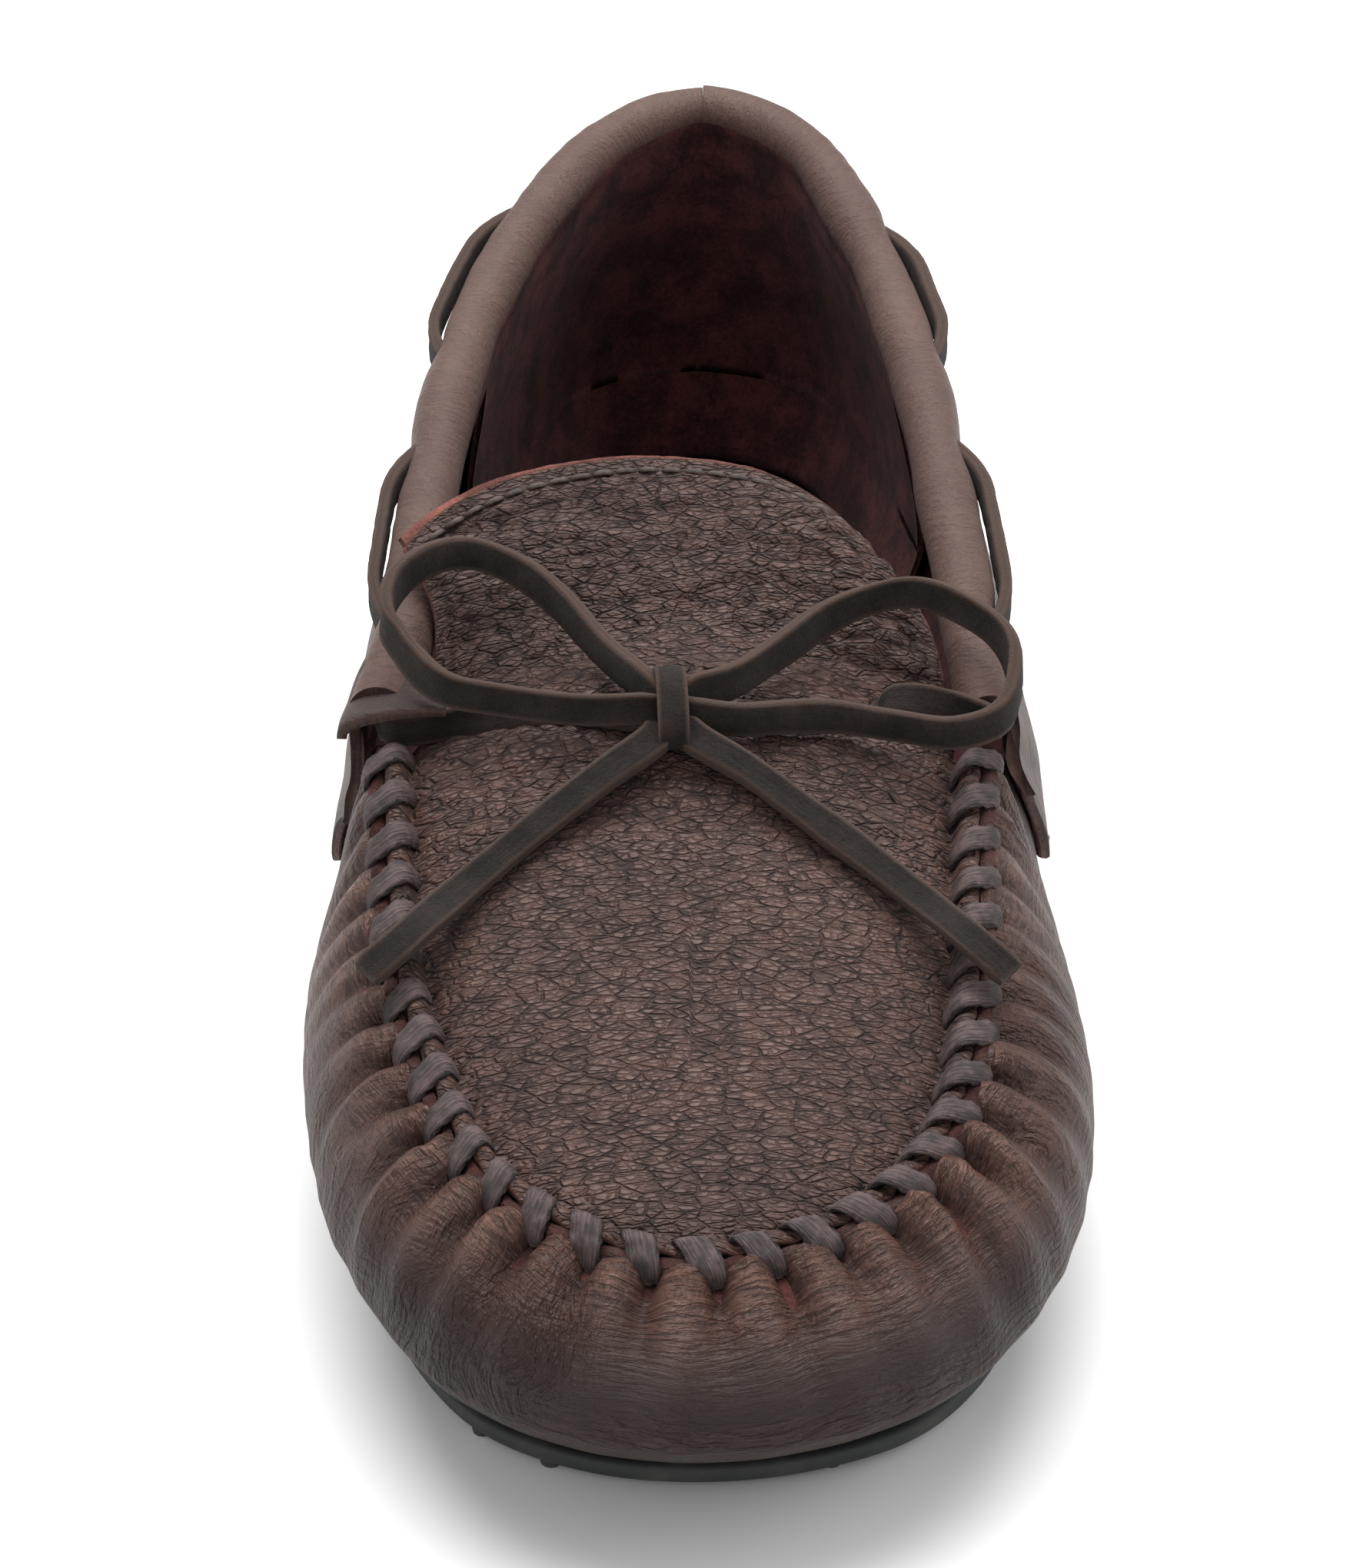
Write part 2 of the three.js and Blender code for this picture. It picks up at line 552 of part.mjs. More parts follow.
// The lace from the plug's right slit, round the collar, to the knot's left side.
function laceRoute() {
  const round = steps(FRONT_RIB + LACE_INSET, 3 * FRONT_RIB - LACE_INSET, 66).map((rib) => {
    const centre = collarAt(rib);
    const windows = rib < HEEL_RIB ? RIGHT_WINDOWS : LEFT_WINDOWS;
    const at = moved(centre, collarOutward(rib), laceStandOff(centre.y, windows));
    return { at, across: up(1) };
  });
  const flat = (points) =>
    points.map((point, i) => {
      const turn = Math.min((i + 1) / 2, 1);
      return { at: onLast(point), across: new THREE.Vector3(0, turn, 1 - turn + LACE_TILT) };
    });
  return [...flat(LACE_FRONT_RIGHT).toReversed(), ...round, ...flat(LACE_FRONT_LEFT)];
}

const laceClearance = (route) =>
  flatBar(route, LACE_WIDTH + 2 * SLOT_CLEARANCE, LACE_THICKNESS + 2 * SLOT_CLEARANCE);

// A route that stays as it was laid, whatever the shoe's size.
const laid = ([x, y, height]) => new THREE.Vector3(x, y, SOLE_TOP + height);

const LOOP_LEFT = [
  [-5.9, -32.7, 58.5], [-12.4, -24, 59.7], [-19.5, -14.6, 63], [-25.2, -10.6, 65.5],
  [-31.6, -8.4, 66.8], [-37, -10.4, 67], [-41.5, -14.9, 65.5], [-42.6, -21, 63.5], [-40.3, -25, 61],
  [-34.7, -30.6, 58], [-25.9, -33.4, 57.4], [-15.1, -36.2, 57.6], [-6.3, -37.2, 58.4],
];
const LOOP_RIGHT = [
  [0.2, -33, 58.4], [5.4, -30.5, 58.7], [11.5, -24.5, 59.5], [19.3, -16.5, 61],
  [26.3, -13.2, 62.3], [32.5, -13.5, 63.3], [39.2, -17.2, 62.5], [44.4, -22.6, 60.5],
  [45.4, -28.3, 57.8], [43.2, -34.6, 55.4], [37.1, -36.6, 54], [28.3, -35.4, 54.4],
  [20.2, -35, 55.6], [13.4, -36.2, 56.3], [6.6, -37.4, 56.6], [1, -36.8, 57],
];
const TAIL_LEFT = [
  [-4.8, -40.6, 55.6], [-12.2, -45.4, 52.2], [-22.2, -53, 47.7], [-28.4, -58.6, 45],
  [-33, -63.8, 43.6], [-38.4, -73, 43.6], [-43, -76.5, 41],
];
const TAIL_RIGHT = [
  [0.2, -40.2, 55.4], [7.9, -44.6, 52.7], [14.6, -49.4, 49.9], [24.4, -56.7, 45.8],
  [31.3, -63.4, 43.6], [37.6, -73, 43.6], [42.2, -76.6, 41],
];
const KNOT_CENTRE = [-3.2, -36.2, 57.8];
const KNOT_HALF = [3.1, 6.4, 3.4];
const KNOT_TILT = 24 * DEGREE;

function laceKnot(margin = 0) {
  const [x, y, z] = KNOT_HALF.map((half) => half + margin);
  const knot = new THREE.SphereGeometry(1, 14, 10).scale(x, y, z).rotateX(KNOT_TILT);
  const centre = laid(KNOT_CENTRE);
  return knot.translate(centre.x, centre.y, centre.z);
}

// A loose stretch of lace: its route is smoothed, and it stops short of the knot. The loops
// stand on edge and the tails lie on their flat side.
const ON_EDGE = new THREE.Vector3(0, 0.35, 0.94);
const FACE_UP = new THREE.Vector3(0, -0.38, 0.92);

function freeLace(points, stops, standing) {
  const curve = new THREE.CatmullRomCurve3(points.map(laid));
  const route = steps(0, 1, stops).map((t) => ({
    at: curve.getPoint(t),
    across: standing ? ON_EDGE : FACE_UP.clone().cross(curve.getTangent(t)),
  }));
  return cut(flatBar(route, LACE_WIDTH, LACE_THICKNESS), laceKnot(GAP));
}

// ---- Sole, footbed and heel ----
function outsole() {
  const plate = footprintPlate(OUTSOLE_MARGIN, STUD_HEIGHT, OUTSOLE_THICKNESS);
  const height = STUD_HEIGHT + STUD_SINK;
  const stud = new THREE.CylinderGeometry(STUD_RADIUS, STUD_ROOT_RADIUS, height, 6);
  stud.rotateX(-Math.PI / 2).translate(0, 0, height / 2);
  const studs = studPlaces().map(([x, y]) => stud.clone().translate(x, y, 0));
  return join(plate, ...studs);
}

function studPlaces() {
  const edge = steps(0, RIBS, 84).slice(0, -1).map((rib) => around(footprint, rib));
  const clearance = (x, y) => Math.min(...edge.map((p) => Math.hypot(p.x - x, p.y - y)));
  const inside = (x, y) =>
    edge.reduce((odd, p, i) => {
      const q = edge[(i + 1) % edge.length];
      const crosses = p.y > y !== q.y > y && x < p.x + ((y - p.y) / (q.y - p.y)) * (q.x - p.x);
      return crosses ? !odd : odd;
    }, false);
  const reach = Math.ceil(UPPER_LENGTH / 2 / STUD_PITCH);
  const grid = steps(-reach, reach, 2 * reach).map((k) => k * STUD_PITCH);
  const places = grid.flatMap((y) => grid.map((x) => [x, y]));
  return places.filter(([x, y]) => inside(x, y) && clearance(x, y) > STUD_EDGE_MARGIN);
}

const BOARD_BOTTOM = SOLE_TOP + WRAP_THICKNESS + GAP;
const FOAM_BOTTOM = BOARD_BOTTOM + BOARD_THICKNESS + GAP;
const SOCK_BOTTOM = FOAM_BOTTOM + FOAM_THICKNESS + GAP;

// The inside of the heel, one layer deeper for each distance.
function heelGrid(depth, halfSteps) {
  const reach = halfSteps * RIB_STEP;
  const ribs = steps(HEEL_RIB - reach, HEEL_RIB + reach, 2 * halfSteps);
  const profiles = ribs.map((rib) => [
    ...lowerProfile(rib, 4).slice(2),
    ...quarterSection(rib, QUARTER_STAND_OFF).slice(2, 5),
  ]);
  return offsetGrid(profiles[0].map((_, row) => profiles.map((profile) => profile[row])), -depth);
}

const COUNTER_REACH = 8; // how far the counter runs forward on each side, in rib steps
const HEEL_LINING_REACH = 9;
const COUNTER_DEPTH = WRAP_THICKNESS + EDGE_LEAN + GAP;
const LINING_DEPTH = COUNTER_DEPTH + COUNTER_THICKNESS + GAP;

function heelLayer(depth, thickness, reach) {
  return sheet(heelGrid(depth, reach), heelGrid(depth + thickness, reach));
}

function heelTab() {
  const ribs = steps(HEEL_RIB - HEEL_TAB_HALF, HEEL_RIB + HEEL_TAB_HALF, 6);
  const wall = (inset) => quarterGrid(ribs, inset).slice(0, 6);
  return sheet(wall(-GAP - HEEL_TAB_THICKNESS), wall(-GAP));
}

const THREAD_END = 0.1; // threads stop this far short of a leather's end, in ribs

function quarterThread(fromRib, toRib) {
  const stops = steps(fromRib, toRib, 18).map((rib) => {
    const [hem, wide] = quarterSection(rib, -GAP - FINE_THREAD_RADIUS);
    return hem.lerp(wide, THREAD_UP_THE_LAP);
  });
  return roundBar(stops, FINE_THREAD_RADIUS, 6, 24);
}

function seamThread() {
  const end = FRONT_RIB - THREAD_END;
  const rise = SEAM_THREAD_LIFT + SEAM_THREAD_RADIUS;
  const stops = steps(-end, end, 28).map((rib) => moved(seamAt(rib, 0), up(1), rise));
  return roundBar(stops, SEAM_THREAD_RADIUS, 8, 56);
}

// ---- Finishes ----
const finish = (color, roughness) => new THREE.MeshStandardMaterial({ color, roughness, metalness: 0 });
const rubber = () => finish("#23272a", 0.75);
const wrapLeather = () => finish("#4d3f3a", 0.5);
const grainLeather = () => finish("#4c3e39", 0.45);
const collarLeather = () => finish("#6b544c", 0.5);
const suede = () => finish("#6a4640", 0.9);
const laceLeather = () => finish("#3f3733", 0.85);
const waxedThread = () => finish("#3f3c3e", 0.6);
const fineThread = () => finish("#55443c", 0.7);
const fibreboard = () => finish("#a08a68", 0.9);
const foam = () => finish("#c9bfa8", 0.95);

// ---- The shoe ----
const shoe = new THREE.Group();
const onFoot = new THREE.Group();
shoe.add(onFoot);

function add(name, geometry, material) {
  const mesh = new THREE.Mesh(geometry, material);
  mesh.name = name;
  onFoot.add(mesh);
}

const RIGHT_THREAD_RIBS = [FRONT_RIB + THREAD_END, HEEL_RIB - THREAD_CLEAR_OF_HEEL];
const LEFT_THREAD_RIBS = [HEEL_RIB + THREAD_CLEAR_OF_HEEL, 3 * FRONT_RIB - THREAD_END];
add("outsole", outsole(), rubber());
add("bottom_wrap", bottomWrap(), wrapLeather());
add("plug", plug(), grainLeather());
add("tongue", tongue(), grainLeather());
add("tongue_lining", tongueLining(), suede());
add("quarter_left", quarterLeft(), collarLeather());
add("quarter_right", quarterRight(), collarLeather());
add("heel_tab", heelTab(), collarLeather());
add("heel_counter", heelLayer(COUNTER_DEPTH, COUNTER_THICKNESS, COUNTER_REACH), fibreboard());
add("heel_lining", heelLayer(LINING_DEPTH, HEEL_LINING_THICKNESS, HEEL_LINING_REACH), suede());
add("insole_board", footprintPlate(-FOOTBED_INSET, BOARD_BOTTOM, BOARD_THICKNESS), fibreboard());
add("insole_foam", footprintPlate(-FOOTBED_INSET, FOAM_BOTTOM, FOAM_THICKNESS), foam());
add("sock_lining", footprintPlate(-FOOTBED_INSET, SOCK_BOTTOM, SOCK_THICKNESS), grainLeather());
add("plug_seam_thread", seamThread(), waxedThread());
add("tongue_edge_thread", tongueThread(), fineThread());
add("quarter_thread_right", quarterThread(...RIGHT_THREAD_RIBS), fineThread());
add("quarter_thread_left", quarterThread(...LEFT_THREAD_RIBS), fineThread());
add("lace_collar", flatBar(laceRoute(), LACE_WIDTH, LACE_THICKNESS), laceLeather());
add("lace_knot", laceKnot(), laceLeather());
add("lace_loop_left", freeLace(LOOP_LEFT, 18, true), laceLeather());
add("lace_loop_right", freeLace(LOOP_RIGHT, 20, true), laceLeather());
add("lace_tail_left", freeLace(TAIL_LEFT, 10, false), laceLeather());
add("lace_tail_right", freeLace(TAIL_RIGHT, 10, false), laceLeather());

// The origin is under the middle of the shoe, the loose lace left out.
const LOOSE = ["lace_knot", "lace_loop_left", "lace_loop_right", "lace_tail_left", "lace_tail_right"];
const outline = new THREE.Box3();
for (const mesh of onFoot.children) if (!LOOSE.includes(mesh.name)) outline.expandByObject(mesh);
const middle = outline.getCenter(new THREE.Vector3());
onFoot.position.set(-middle.x, -middle.y, -outline.min.z);

export default shoe;
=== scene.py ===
"""The looks of a hand-sewn leather moccasin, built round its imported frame.

The shoe stands on its studs with the toe towards -Y and the wearer's right at +X. Shapes are worked
out in millimetres in the maker's own frame, on 28 ribs round the last: rib 0 is the middle of the
toe, 7 the right front of the quarters, 14 the heel and -7 (or 21) the left front.
"""

import math

import bmesh
import bpy
import numpy as np
from mathutils import Matrix, Vector


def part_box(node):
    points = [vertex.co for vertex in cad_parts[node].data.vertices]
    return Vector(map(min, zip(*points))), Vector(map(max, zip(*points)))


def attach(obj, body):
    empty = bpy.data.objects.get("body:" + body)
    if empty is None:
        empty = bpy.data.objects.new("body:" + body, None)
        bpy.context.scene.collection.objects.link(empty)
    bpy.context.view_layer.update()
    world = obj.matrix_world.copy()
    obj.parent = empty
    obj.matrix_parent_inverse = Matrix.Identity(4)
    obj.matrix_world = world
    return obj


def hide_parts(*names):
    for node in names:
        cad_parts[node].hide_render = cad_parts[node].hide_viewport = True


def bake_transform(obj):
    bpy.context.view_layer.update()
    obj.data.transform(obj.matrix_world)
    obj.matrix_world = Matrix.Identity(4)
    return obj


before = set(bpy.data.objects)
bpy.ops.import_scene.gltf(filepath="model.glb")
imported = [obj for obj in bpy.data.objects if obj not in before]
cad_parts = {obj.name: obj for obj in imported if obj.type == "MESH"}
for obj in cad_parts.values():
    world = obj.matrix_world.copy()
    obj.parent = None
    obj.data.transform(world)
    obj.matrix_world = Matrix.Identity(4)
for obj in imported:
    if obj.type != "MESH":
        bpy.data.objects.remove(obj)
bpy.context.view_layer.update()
MM = 0.001

# ---- Sizes in millimetres ----
PLUG_CROWN = 9.0
CROWN_FLATNESS = 2.6
RIDGE_HEIGHT = 3.0
EDGE_LEAN = 1.0
LAP = 6.0
UNDERSIDE_REACH = 0.1  # handles of the wrap's section under the bulge
UNDERSIDE_DROP = 0.15
HEM_RISE_RIBS = 1.1  # the quarters' hem rises towards the front over this length
HEM_RISE = 1.4  # 1 brings it up to the bulge, and more goes on up the wall
HEM_RISE_RIGHT = HEM_RISE + 0.2
HEM_STEP = 0.06
GAP = 0.3
WRAP_THICKNESS = 2.0
PLUG_THICKNESS = 1.6
QUARTER_THICKNESS = 1.7
QUARTER_STAND_OFF = 2.1
QUARTER_LINING_INSET = 4.3  # the lining's foot, in from the wall
COLLAR_RADIUS = 4.5
ROLL_TURN = 215  # degrees of the collar's roll, from its outer side over the top
HEEL_LINING_INSETS = (4.7, 5.7)  # its two faces, in from the wall's line
LACE_WIDTH = 4.5
LACE_THICKNESS = 2.0
LACE_BULGE = 0.5
LACE_RAMP = 9.0
STITCH_COUNT = 31
STITCH_SLANT = 0.6  # of the pitch, from the plug's hole to the wrap's
COLUMNS_PER_STITCH = 12
STUD_HEIGHT = 1.9
STUD_PITCH = 6.0
STUD_MARGIN = -0.4  # studs stand inside the footprint by this much
STUD_FIELD = 150  # rows of studs are laid out this far each way, and the outline cuts them
OUTSOLE_THICKNESS = 2.8
OUTSOLE_MARGIN = 2.0
TONGUE_CROWN = 9.6
TONGUE_STITCH_INSET = 3.0
TONGUE_LINING_DEPTHS = (0.12, 1.25)  # its two faces, below the skin's inner side
LINING_PEEK = 1.3  # the tongue's lining shows this far past the outer skin

# ---- The last: 28 ribs round the foot, heights above the wrap's underside ----
FOOTPRINT = [
    [0.6, -124.5], [14.5, -122.6], [28, -116.5], [37, -105.5], [42, -91], [44.3, -72],
    [42.5, -50], [38.5, -27], [35.5, -6], [33.5, 22], [32.5, 50], [31, 76], [28, 99], [19, 119],
    [1.5, 127.5], [-16, 119.5], [-25.5, 99], [-30, 76], [-32, 50], [-33.5, 22], [-36, -6],
    [-39, -27], [-42.5, -50], [-43, -72], [-39.5, -90], [-34, -104.5], [-25.5, -116], [-13, -122.6],
]
BULGE = [
    [0.6, -140.5, 15], [19, -137.3, 15], [34, -128.3, 15], [44.5, -114.5, 15.5],
    [51.2, -97.3, 16], [54.6, -75, 17], [53.6, -52, 19], [51, -30, 21.5], [49.8, -8, 24],
    [48, 20, 27], [44.5, 48, 28], [40, 76, 28.5], [35.2, 102, 28], [24.2, 126, 27],
    [1.5, 137.4, 26], [-21, 127, 27], [-32.8, 103, 28], [-38.5, 77, 28.5], [-44, 49, 28],
    [-48, 21, 27], [-49.6, -7, 24], [-51.3, -29, 21.5], [-53.6, -51, 19], [-52.3, -75, 17],
    [-48.3, -96, 16], [-41.5, -113, 15.5], [-31, -128, 15], [-16, -137.3, 15],
]
SEAM = [
    [-43.3, -31, 47.8], [-41.5, -52, 42.5], [-38.5, -75, 37.8], [-33.3, -92.5, 34.8],
    [-28, -105.5, 33.5], [-19.5, -115.5, 32.5], [-9.5, -121.5, 31.8], [0.5, -123.5, 31.5],
    [12, -121.2, 31.8], [22.5, -115, 32.5], [30.2, -106, 33.5], [35.2, -93.5, 34.8],
    [38, -75, 37.8], [39.3, -53, 42.3], [41, -31, 47.5],
]
COLLAR = [
    [42, -27, 50], [40.4, -8, 54.5], [38.5, 18, 59.5], [36.3, 45, 63.5], [31.8, 74, 68],
    [26.5, 97, 71.5], [17.5, 119.5, 74.8], [2, 129.6, 76.5], [-13.5, 120, 74.8], [-25.5, 97, 71.5],
    [-32.5, 75, 68], [-37.5, 46, 63.5], [-39.5, 18, 59.5], [-41, -7, 54.5], [-44, -26, 50.5],
]
TONGUE_LEFT = [[-37.2, -22, 46.6], [-37, -16, 51.5], [-36.9, -11, 57], [-38.6, -7, 62]]
TONGUE_RIGHT = [[36.2, -22, 46.6], [36.4, -18, 50.5], [34.8, -13, 55.5], [32, -8.3, 59.5]]
TONGUE_TIP = [
    [-41, -4.5, 66], [-37.5, 0, 68], [-29, 4.8, 71], [-17.8, 8.2, 72.6], [-4.4, 9.6, 73],
    [11.3, 6.9, 71.8], [20.2, 2.5, 68.5], [27.9, -3.7, 62.5],
]
RIBS = len(BULGE)
FRONT_RIB = 7
HEEL_RIB = 14

# ---- The lace's routes ----
RIGHT_WINDOWS = [[-9, 30], [56, 89]]
LEFT_WINDOWS = [[-7, 29], [57, 94]]
LACE_FRONT_RIGHT = [
    [43.2, -29, 50.6], [40.2, -29, 52.4], [36, -28, 53.4], [31.5, -26.6, 53.3],
    [28.6, -25.8, 52.4], [27.2, -25.4, 49.4],
]
LACE_FRONT_LEFT = [
    [-43.4, -28.4, 50.2], [-39.5, -29, 50], [-34, -28.4, 50.6], [-27, -29.4, 52.6],
    [-20, -31, 54.1], [-13.5, -33, 55], [-7.5, -34.6, 55.2],
]
LOOP_LEFT = [
    [-5.9, -32.7, 58.5], [-12.4, -24, 59.7], [-19.5, -14.6, 63], [-25.2, -10.6, 65.5],
    [-31.6, -8.4, 66.8], [-37, -10.4, 67], [-41.5, -14.9, 65.5], [-42.6, -21, 63.5],
    [-40.3, -25, 61], [-34.7, -30.6, 58], [-25.9, -33.4, 57.4], [-15.1, -36.2, 57.6],
    [-6.3, -37.2, 58.4],
]
LOOP_RIGHT = [
    [0.2, -33, 58.4], [5.4, -30.5, 58.7], [11.5, -24.5, 59.5], [19.3, -16.5, 61],
    [26.3, -13.2, 62.3], [32.5, -13.5, 63.3], [39.2, -17.2, 62.5], [44.4, -22.6, 60.5],
    [45.4, -28.3, 57.8], [43.2, -34.6, 55.4], [37.1, -36.6, 54], [28.3, -35.4, 54.4],
    [20.2, -35, 55.6], [13.4, -36.2, 56.3], [6.6, -37.4, 56.6], [1, -36.8, 57],
]
TAIL_LEFT = [
    [-4.8, -40.6, 55.6], [-12.2, -45.4, 52.2], [-22.2, -53, 47.7], [-28.4, -58.6, 45],
    [-33, -63.8, 43.6], [-38.4, -73, 43.6], [-43, -76.5, 41],
]
TAIL_RIGHT = [
    [0.2, -40.2, 55.4], [7.9, -44.6, 52.7], [14.6, -49.4, 49.9], [24.4, -56.7, 45.8],
    [31.3, -63.4, 43.6], [37.6, -73, 43.6], [42.2, -76.6, 41],
]
KNOT_CENTRE = [-3.2, -36.2, 57.8]


# ---- Smooth lines and the last's surfaces ----
class Rail:
    """A smooth line through given points, read by the share of its points passed."""

    def __init__(self, points, closed=False):
        p = np.array(points, float)
        self.count = len(p)
        self.closed = closed
        ends = (p[-1:], p[:2]) if closed else (2 * p[:1] - p[1:2], 2 * p[-1:] - p[-2:-1])
        self.points = np.vstack([ends[0], p, ends[1]])

    def at(self, share):
        share = np.atleast_1d(np.asarray(share, float))
        spans = self.count if self.closed else self.count - 1
        place = (share % 1.0 if self.closed else np.clip(share, 0, 1)) * spans
        start = np.minimum(np.floor(place).astype(int), spans - 1)
        w = (place - start)[:, None]
        p0, p1, p2, p3 = (self.points[start + k] for k in range(4))
        d0, d1, d2 = (
            np.maximum(np.linalg.norm(b - a, axis=1), 1e-6)[:, None] ** 0.5
            for a, b in ((p0, p1), (p1, p2), (p2, p3))
        )
        t1 = ((p1 - p0) / d0 - (p2 - p0) / (d0 + d1) + (p2 - p1) / d1) * d1
        t2 = ((p2 - p1) / d1 - (p3 - p1) / (d1 + d2) + (p3 - p2) / d2) * d1
        cube = 2 * p1 - 2 * p2 + t1 + t2
        square = -3 * p1 + 3 * p2 - 2 * t1 - t2
        return p1 + t1 * w + square * w**2 + cube * w**3


def smooth(value, low, high):
    t = np.clip((np.asarray(value, float) - low) / (high - low), 0, 1)
    return t * t * (3 - 2 * t)


def bell(value, width):
    """1 where the value is 0, falling away over a width on both sides."""
    return np.exp(-((value / width) ** 2))


def unit(vectors):
    return vectors / np.linalg.norm(vectors, axis=-1, keepdims=True)


def paired(first, second):
    """Two coordinates for each place of a grid, from arrays that stretch to its size."""
    return np.stack(np.broadcast_arrays(first, second), 2)


def extent(points):
    return points.max(0) - points.min(0)


WRAP_LOW, WRAP_HIGH = (np.array(corner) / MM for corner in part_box("bottom_wrap"))
SOLE_TOP = WRAP_LOW[2]
PLAIN_BULGE = Rail(BULGE, True).at(np.linspace(0, 1, 400))
LAST_SCALE = (WRAP_HIGH - WRAP_LOW)[:2] / extent(PLAIN_BULGE)[:2]


def on_last(points):
    """Points of the last's tables in the maker's frame; a footprint point is on the wrap's underside."""
    p = np.array([list(point) + [0.0] * (3 - len(point)) for point in points], float)
    p[:, :2] *= LAST_SCALE
    p[:, 2] += SOLE_TOP
    return p


FOOT = Rail(on_last(FOOTPRINT), True)
WIDE = Rail(on_last(BULGE), True)
ROLL = Rail(on_last(COLLAR))
WIDE_POINTS = WIDE.at(np.linspace(0, 1, 400))
SHIFT = np.append((WRAP_LOW + WRAP_HIGH)[:2] / 2 - (WIDE_POINTS.max(0) + WIDE_POINTS.min(0))[:2] / 2, 0)
UP = np.array([0.0, 0.0, 1.0])


def around(rail, rib):
    return rail.at(np.asarray(rib, float) / RIBS % 1.0)


def collar_at(rib):
    return ROLL.at((np.asarray(rib, float) - FRONT_RIB) / (len(COLLAR) - 1))


def signed(rib):
    return (np.asarray(rib, float) + RIBS / 2) % RIBS - RIBS / 2


def outward(sample, rib):
    rib = np.asarray(rib, float)
    along = sample(rib + 0.05) - sample(rib - 0.05)
    return unit(np.stack([along[:, 1], -along[:, 0], 0 * along[:, 0]], 1))


def outward_at(rib):
    return outward(lambda r: around(WIDE, r), rib)


def top_edge_points():
    ribs = np.arange(RIBS)
    plain = around(WIDE, ribs) - EDGE_LEAN * outward_at(ribs) + LAP * UP
    stitched = on_last(SEAM)
    for rib in range(RIBS):
        place = int(signed(rib)) + FRONT_RIB
        if 0 <= place < len(SEAM):
            plain[rib] = stitched[place]
    return plain


EDGE = Rail(top_edge_points(), True)


def lengths(points):
    """Distance run from the first point to each point of a line."""
    return np.append(0, np.cumsum(np.linalg.norm(np.diff(points, axis=0), axis=1)))


SEAM_RIBS = np.linspace(-FRONT_RIB, FRONT_RIB, 561)
SEAM_RUN = lengths(around(EDGE, SEAM_RIBS))
STITCH_PITCH = SEAM_RUN[-1] / STITCH_COUNT


def station(rib):
    """How many stitch pitches of the plug's seam lie before a rib."""
    return np.interp(signed(rib), SEAM_RIBS, SEAM_RUN / STITCH_PITCH)


def rib_of(stitches):
    return np.interp(stitches, SEAM_RUN / STITCH_PITCH, SEAM_RIBS)


def bezier(a, b, c, d, steps):
    """Rows of points along cubic curves, one curve for each column; steps may differ by column."""
    t = np.asarray(steps, float)
    t = t[:, None, None] if t.ndim == 1 else t[..., None]
    return (1 - t) ** 3 * a + 3 * (1 - t) ** 2 * t * b + 3 * (1 - t) * t**2 * c + t**3 * d


# ---- Seeded irregularity of hand work and hide ----
def hashed(cells, seed):
    """A number from 0 to 1 for each whole-number cell."""
    h = np.full(cells.shape[0], seed * 2654435761 % 2**32, np.uint64)
    for k in range(cells.shape[1]):
        cell = cells[:, k].astype(np.int64).astype(np.uint64)
        h = (h ^ (cell * np.uint64(0x9E3779B1))) % np.uint64(2**32)
        h = (h * np.uint64(0x85EBCA6B) + np.uint64(0xC2B2AE35)) % np.uint64(2**32)
        h ^= h >> np.uint64(15)
    return (h % np.uint64(2**24)).astype(float) / 2**24


def swell(points, size, seed):
    """Soft noise from -1 to 1 whose bumps are about one size across."""
    p = np.asarray(points, float) / size
    shape, dims = p.shape[:-1], p.shape[-1]
    p = p.reshape(-1, dims)
    low = np.floor(p)
    w = p - low
    w = w * w * (3 - 2 * w)
    total = np.zeros(len(p))
    for corner in range(2**dims):
        bits = np.array([(corner >> k) & 1 for k in range(dims)])
        share = np.prod(np.where(bits, w, 1 - w), axis=1)
        total += share * hashed(low + bits, seed)
    return (2 * total - 1).reshape(shape)


def pebbles(points, size, seed):
    """How far each place is from the creases between pebbles: 0 in a crease, about 1 on a pebble."""
    p = np.asarray(points, float) / size
    shape = p.shape[:-1]
    p = p.reshape(-1, 2)
    low = np.floor(p)
    first = np.full(len(p), 9.0)
    second = first.copy()
    for dx in (-1, 0, 1):
        for dy in (-1, 0, 1):
            cell = low + [dx, dy]
            centre = cell + np.stack([hashed(cell, seed), hashed(cell, seed + 1)], 1)
            away = np.linalg.norm(p - centre, axis=1)
            second = np.minimum(second, np.maximum(first, away))
            first = np.minimum(first, away)
    return np.clip((second - first) * 2.2, 0, 1).reshape(shape)


# ---- Meshes ----
def cross_normals(grid, round_columns=False):
    """Unit normals of a grid of rows and columns."""
    if round_columns:
        along = np.roll(grid, -1, 1) - np.roll(grid, 1, 1)
    else:
        along = np.gradient(grid, axis=1)
    n = np.cross(along, np.gradient(grid, axis=0))
    return n / np.maximum(np.linalg.norm(n, axis=2, keepdims=True), 1e-9)


def normals_towards(grid, row, column, way=UP):
    """Unit normals, turned so that the one at a row and column points a given way."""
    n = cross_normals(grid)
    return n * np.sign((n[row, column] * way).sum())


